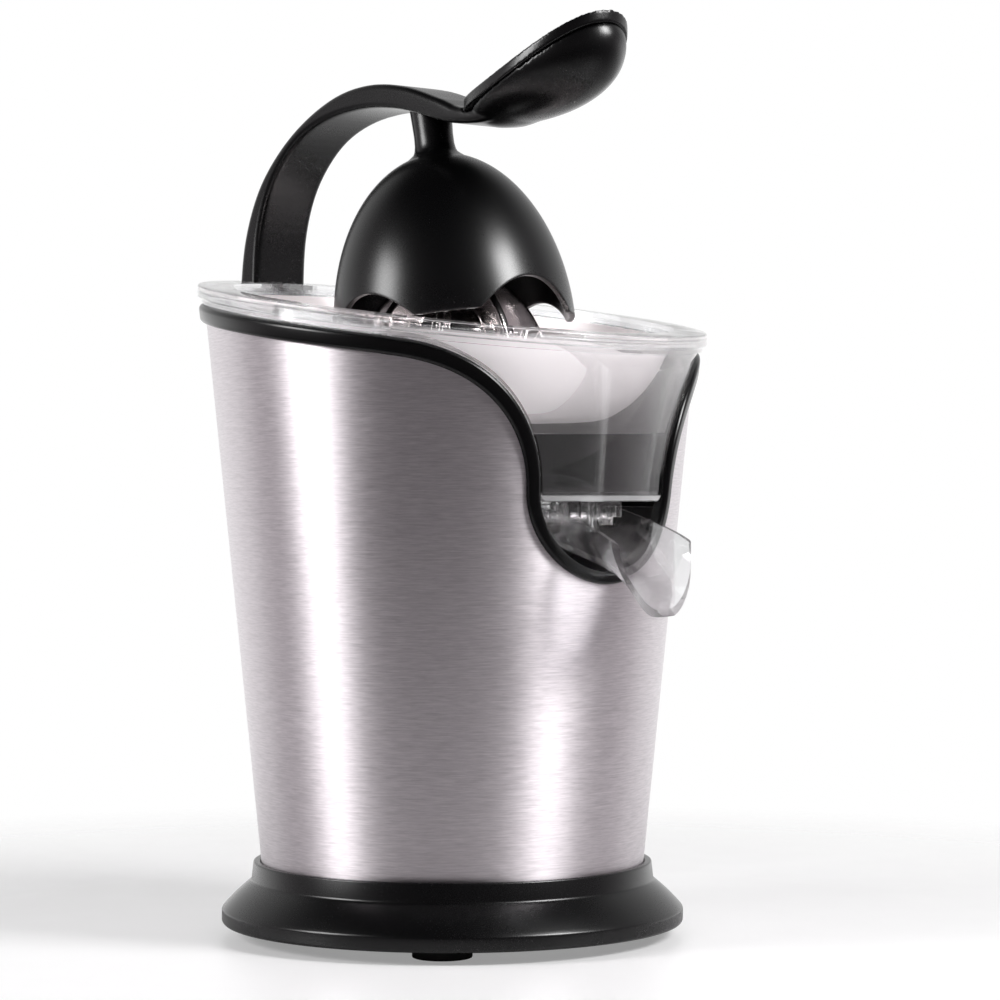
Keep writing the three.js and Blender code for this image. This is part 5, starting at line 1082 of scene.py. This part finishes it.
piece("skirt", base_skirt(), BLACK_PLASTIC, "body", "base_skirt", slot="black_plastic")
plate = bottom_plate(corners.values())
piece("underside_plate", plate, HOUSING_PLASTIC, "body", "bottom_plate", slot="housing_plastic")
for corner, (x, y) in corners.items():
    piece(f"rubber_foot_{corner}", foot(x, y), RUBBER, "body", f"foot_{corner}", slot="rubber")
    screw, node = shifted(screw_shape(20.5), x, y, 2.7), f"base_screw_{corner}"
    piece(f"foot_screw_{corner}", screw, PLAIN_STEEL, "body", node, slot="plain_steel")

piece("steel_body", steel_shell(), BRUSHED_STEEL, "body", "steel_shell", slot="brushed_steel")
piece("mouth_trim", shell_trim(), TRIM_PLASTIC, "body", "shell_trim", slot="black_plastic", angle=40)
piece("inner_shell", inner_housing(), HOUSING_PLASTIC, "body", "inner_housing", slot="housing_plastic")
piece("cord_inlet", cord_gland(), RUBBER, "body", "cord_gland", slot="rubber")

piece("clear_bowl", juice_bowl(), CLEAR_PLASTIC, "body", "juice_bowl", slot="clear_plastic", angle=28)
piece("clear_spout", spout(), CLEAR_PLASTIC, "spout_trough", "spout", slot="clear_plastic", angle=35)
piece("strainer_dish", strainer(), STRAINER_STEEL, "body", "strainer", slot="polished_steel")

piece("reamer_cone", reamer(), POLISHED_STEEL, "reamer_drive", "reamer", slot="polished_steel", angle=60)
piece("dome", pressing_dome(), BLACK_PLASTIC, "lever", "pressing_dome", slot="black_plastic", angle=60)
piece("lever", lever_arm(), BLACK_PLASTIC, "lever", "lever_arm", slot="black_plastic", angle=60)
piece("thumb_pad", handle_pad(), PAD_PLASTIC, "lever", "handle_pad", slot="black_plastic", angle=60)
bracket = hinge_bracket()
piece("rear_bracket", bracket, BLACK_PLASTIC, "body", "hinge_bracket", slot="black_plastic", angle=60)
piece("pivot_pin", hinge_pin(), PLAIN_STEEL, "body", "hinge_pin", slot="plain_steel")

# ---- studio

CAMERA = Vector((-0.8389, -0.9415, 0.1793))
TO_OBJECT = Vector((0.6652, 0.7466, 0))  # level, from the camera to the axis of the body
RIGHT = Vector((0.7466, -0.6652, 0))


def camera():
    """A long lens, a little above the middle of the object and turned slightly down."""
    data = bpy.data.cameras.new("camera")
    data.sensor_width = 36
    data.lens = 113.54
    data.clip_end = 20
    yaw, pitch = math.radians(0.863), math.radians(0.30)
    ahead = TO_OBJECT * math.cos(yaw) + RIGHT * math.sin(yaw)
    ahead = ahead.normalized() * math.cos(pitch) - Vector((0, 0, math.sin(pitch)))
    obj = bpy.data.objects.new("camera", data)
    obj.matrix_world = Matrix.Translation(CAMERA) @ ahead.to_track_quat("-Z", "Y").to_matrix().to_4x4()
    bpy.context.scene.collection.objects.link(obj)
    bpy.context.scene.camera = obj


def seen_straight(tree):
    """One for rays from the camera, directly or through clear plastic, and zero for reflections."""
    rays = tree.nodes.new("ShaderNodeLightPath").outputs
    return worked_out(tree, "MAXIMUM", rays["Is Camera Ray"], rays["Is Transmission Ray"])


def softbox(name, turn, distance, height, size, power, lift):
    """A soft light, brightest in the middle, turned this many degrees round the object from the
    camera to its right. It faces the object's axis at the lift."""
    angle = math.radians(turn)
    out = -TO_OBJECT * math.cos(angle) + RIGHT * math.sin(angle)
    data = bpy.data.lights.new(name, "AREA")
    data.shape = "RECTANGLE"
    data.size, data.size_y = size
    data.energy = power
    data.use_nodes = True
    tree = data.node_tree
    split = tree.nodes.new("ShaderNodeSeparateXYZ")
    tree.links.new(tree.nodes.new("ShaderNodeNewGeometry").outputs["Parametric"], split.inputs[0])
    falls = []
    for axis in "XY":
        away = worked_out(tree, "ABSOLUTE", worked_out(tree, "SUBTRACT", split.outputs[axis], 0.5))
        falls.append(ranged(tree, away, 1.5, 0.0, 0.18, 0.5, "SMOOTHSTEP"))
    tree.links.new(worked_out(tree, "MULTIPLY", *falls), tree.nodes["Emission"].inputs["Strength"])
    obj = bpy.data.objects.new(name, data)
    spot = out * distance + Vector((0, 0, height))
    aim = Vector((0, 0, lift)) - spot
    obj.matrix_world = Matrix.Translation(spot) @ aim.to_track_quat("-Z", "Y").to_matrix().to_4x4()
    obj.visible_camera = False
    bpy.context.scene.collection.objects.link(obj)


def studio_world():
    """Soft studio round the object: pale behind it, dark above and on the side it is seen from."""
    world = bpy.data.worlds.new("studio")
    bpy.context.scene.world = world
    world.use_nodes = True
    tree = world.node_tree
    nodes, links = tree.nodes, tree.links
    nodes.clear()
    coords = nodes.new("ShaderNodeTexCoord")
    facing = nodes.new("ShaderNodeVectorMath")
    facing.operation = "DOT_PRODUCT"
    facing.inputs[1].default_value = TO_OBJECT
    links.new(coords.outputs["Generated"], facing.inputs[0])
    split = nodes.new("ShaderNodeSeparateXYZ")
    links.new(coords.outputs["Generated"], split.inputs[0])

    def graded(value, stops):
        """A grey, mauve where it is dark, that follows the stops as the value goes from -1 to 1."""
        ramp = nodes.new("ShaderNodeValToRGB")
        while len(ramp.color_ramp.elements) < len(stops):
            ramp.color_ramp.elements.new(0.5)
        for element, (at, grey) in zip(ramp.color_ramp.elements, stops):
            element.position = (at + 1) / 2
            element.color = (grey, grey * (0.88 + 0.12 * grey), grey * (0.95 + 0.05 * grey), 1)
        links.new(ranged(tree, value, 0, 1, -1, 1), ramp.inputs["Fac"])
        return ramp.outputs["Color"]

    studio = nodes.new("ShaderNodeBackground")
    round_about = graded(
        facing.outputs["Value"], [(-0.8, 0.08), (0.0, 0.26), (0.3, 0.56), (0.56, 1.0)])
    up_and_down = graded(
        split.outputs["Z"], [(-0.35, 0.4), (-0.05, 1.0), (0.14, 0.6), (0.6, 0.35), (0.8, 0.02)])
    links.new(round_about, studio.inputs["Color"])
    links.new(worked_out(tree, "MULTIPLY", up_and_down, 1.5), studio.inputs["Strength"])
    paper = nodes.new("ShaderNodeBackground")
    paper.inputs["Color"].default_value = (1, 1, 1, 1)
    paper.inputs["Strength"].default_value = 1.0
    mix = nodes.new("ShaderNodeMixShader")
    links.new(seen_straight(tree), mix.inputs["Fac"])
    links.new(studio.outputs["Background"], mix.inputs[1])
    links.new(paper.outputs["Background"], mix.inputs[2])
    out = nodes.new("ShaderNodeOutputWorld")
    links.new(mix.outputs["Shader"], out.inputs["Surface"])


def table():
    """A pale table that fades into the white surround."""
    bm = bmesh.new()
    bmesh.ops.create_circle(bm, cap_ends=True, segments=96, radius=0.55)
    mesh = bpy.data.meshes.new("table")
    bm.to_mesh(mesh)
    bm.free()
    obj = bpy.data.objects.new("table", mesh)
    bpy.context.scene.collection.objects.link(obj)
    f = Finish("pale_table")
    f.feed("Base Color", f.mixed(f.noise(3, 2), (0.55, 0.545, 0.55), (0.59, 0.585, 0.59)))
    f.feed("Roughness", f.ranged(f.noise(40, 2), 0.35, 0.45))
    length = f.nodes.new("ShaderNodeVectorMath")
    length.operation = "LENGTH"
    f.links.new(f.coords, length.inputs[0])
    f.feed("Alpha", f.ranged(length.outputs["Value"], 1.0, 0.0, 0.22, 0.50))
    f.feed("Emission Strength", f.ranged(seen_straight(f.tree), 0.0, 0.30))
    f.set(Emission_Color=(1, 1, 1, 1))
    mesh.materials.append(f.material)
    obj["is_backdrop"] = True


camera()
studio_world()
softbox("left_softbox", -70, 1.0, 0.58, (0.54, 0.62), 8.5, 0.24)
softbox("right_softbox", 61, 0.9, 0.80, (0.50, 0.60), 14.5, 0.24)
table()

bpy.context.scene.view_settings.view_transform = "Standard"

boxes = {"cad": cad_box, "visual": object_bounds()}
{key: [list(corner) for corner in box] for key, box in boxes.items()}
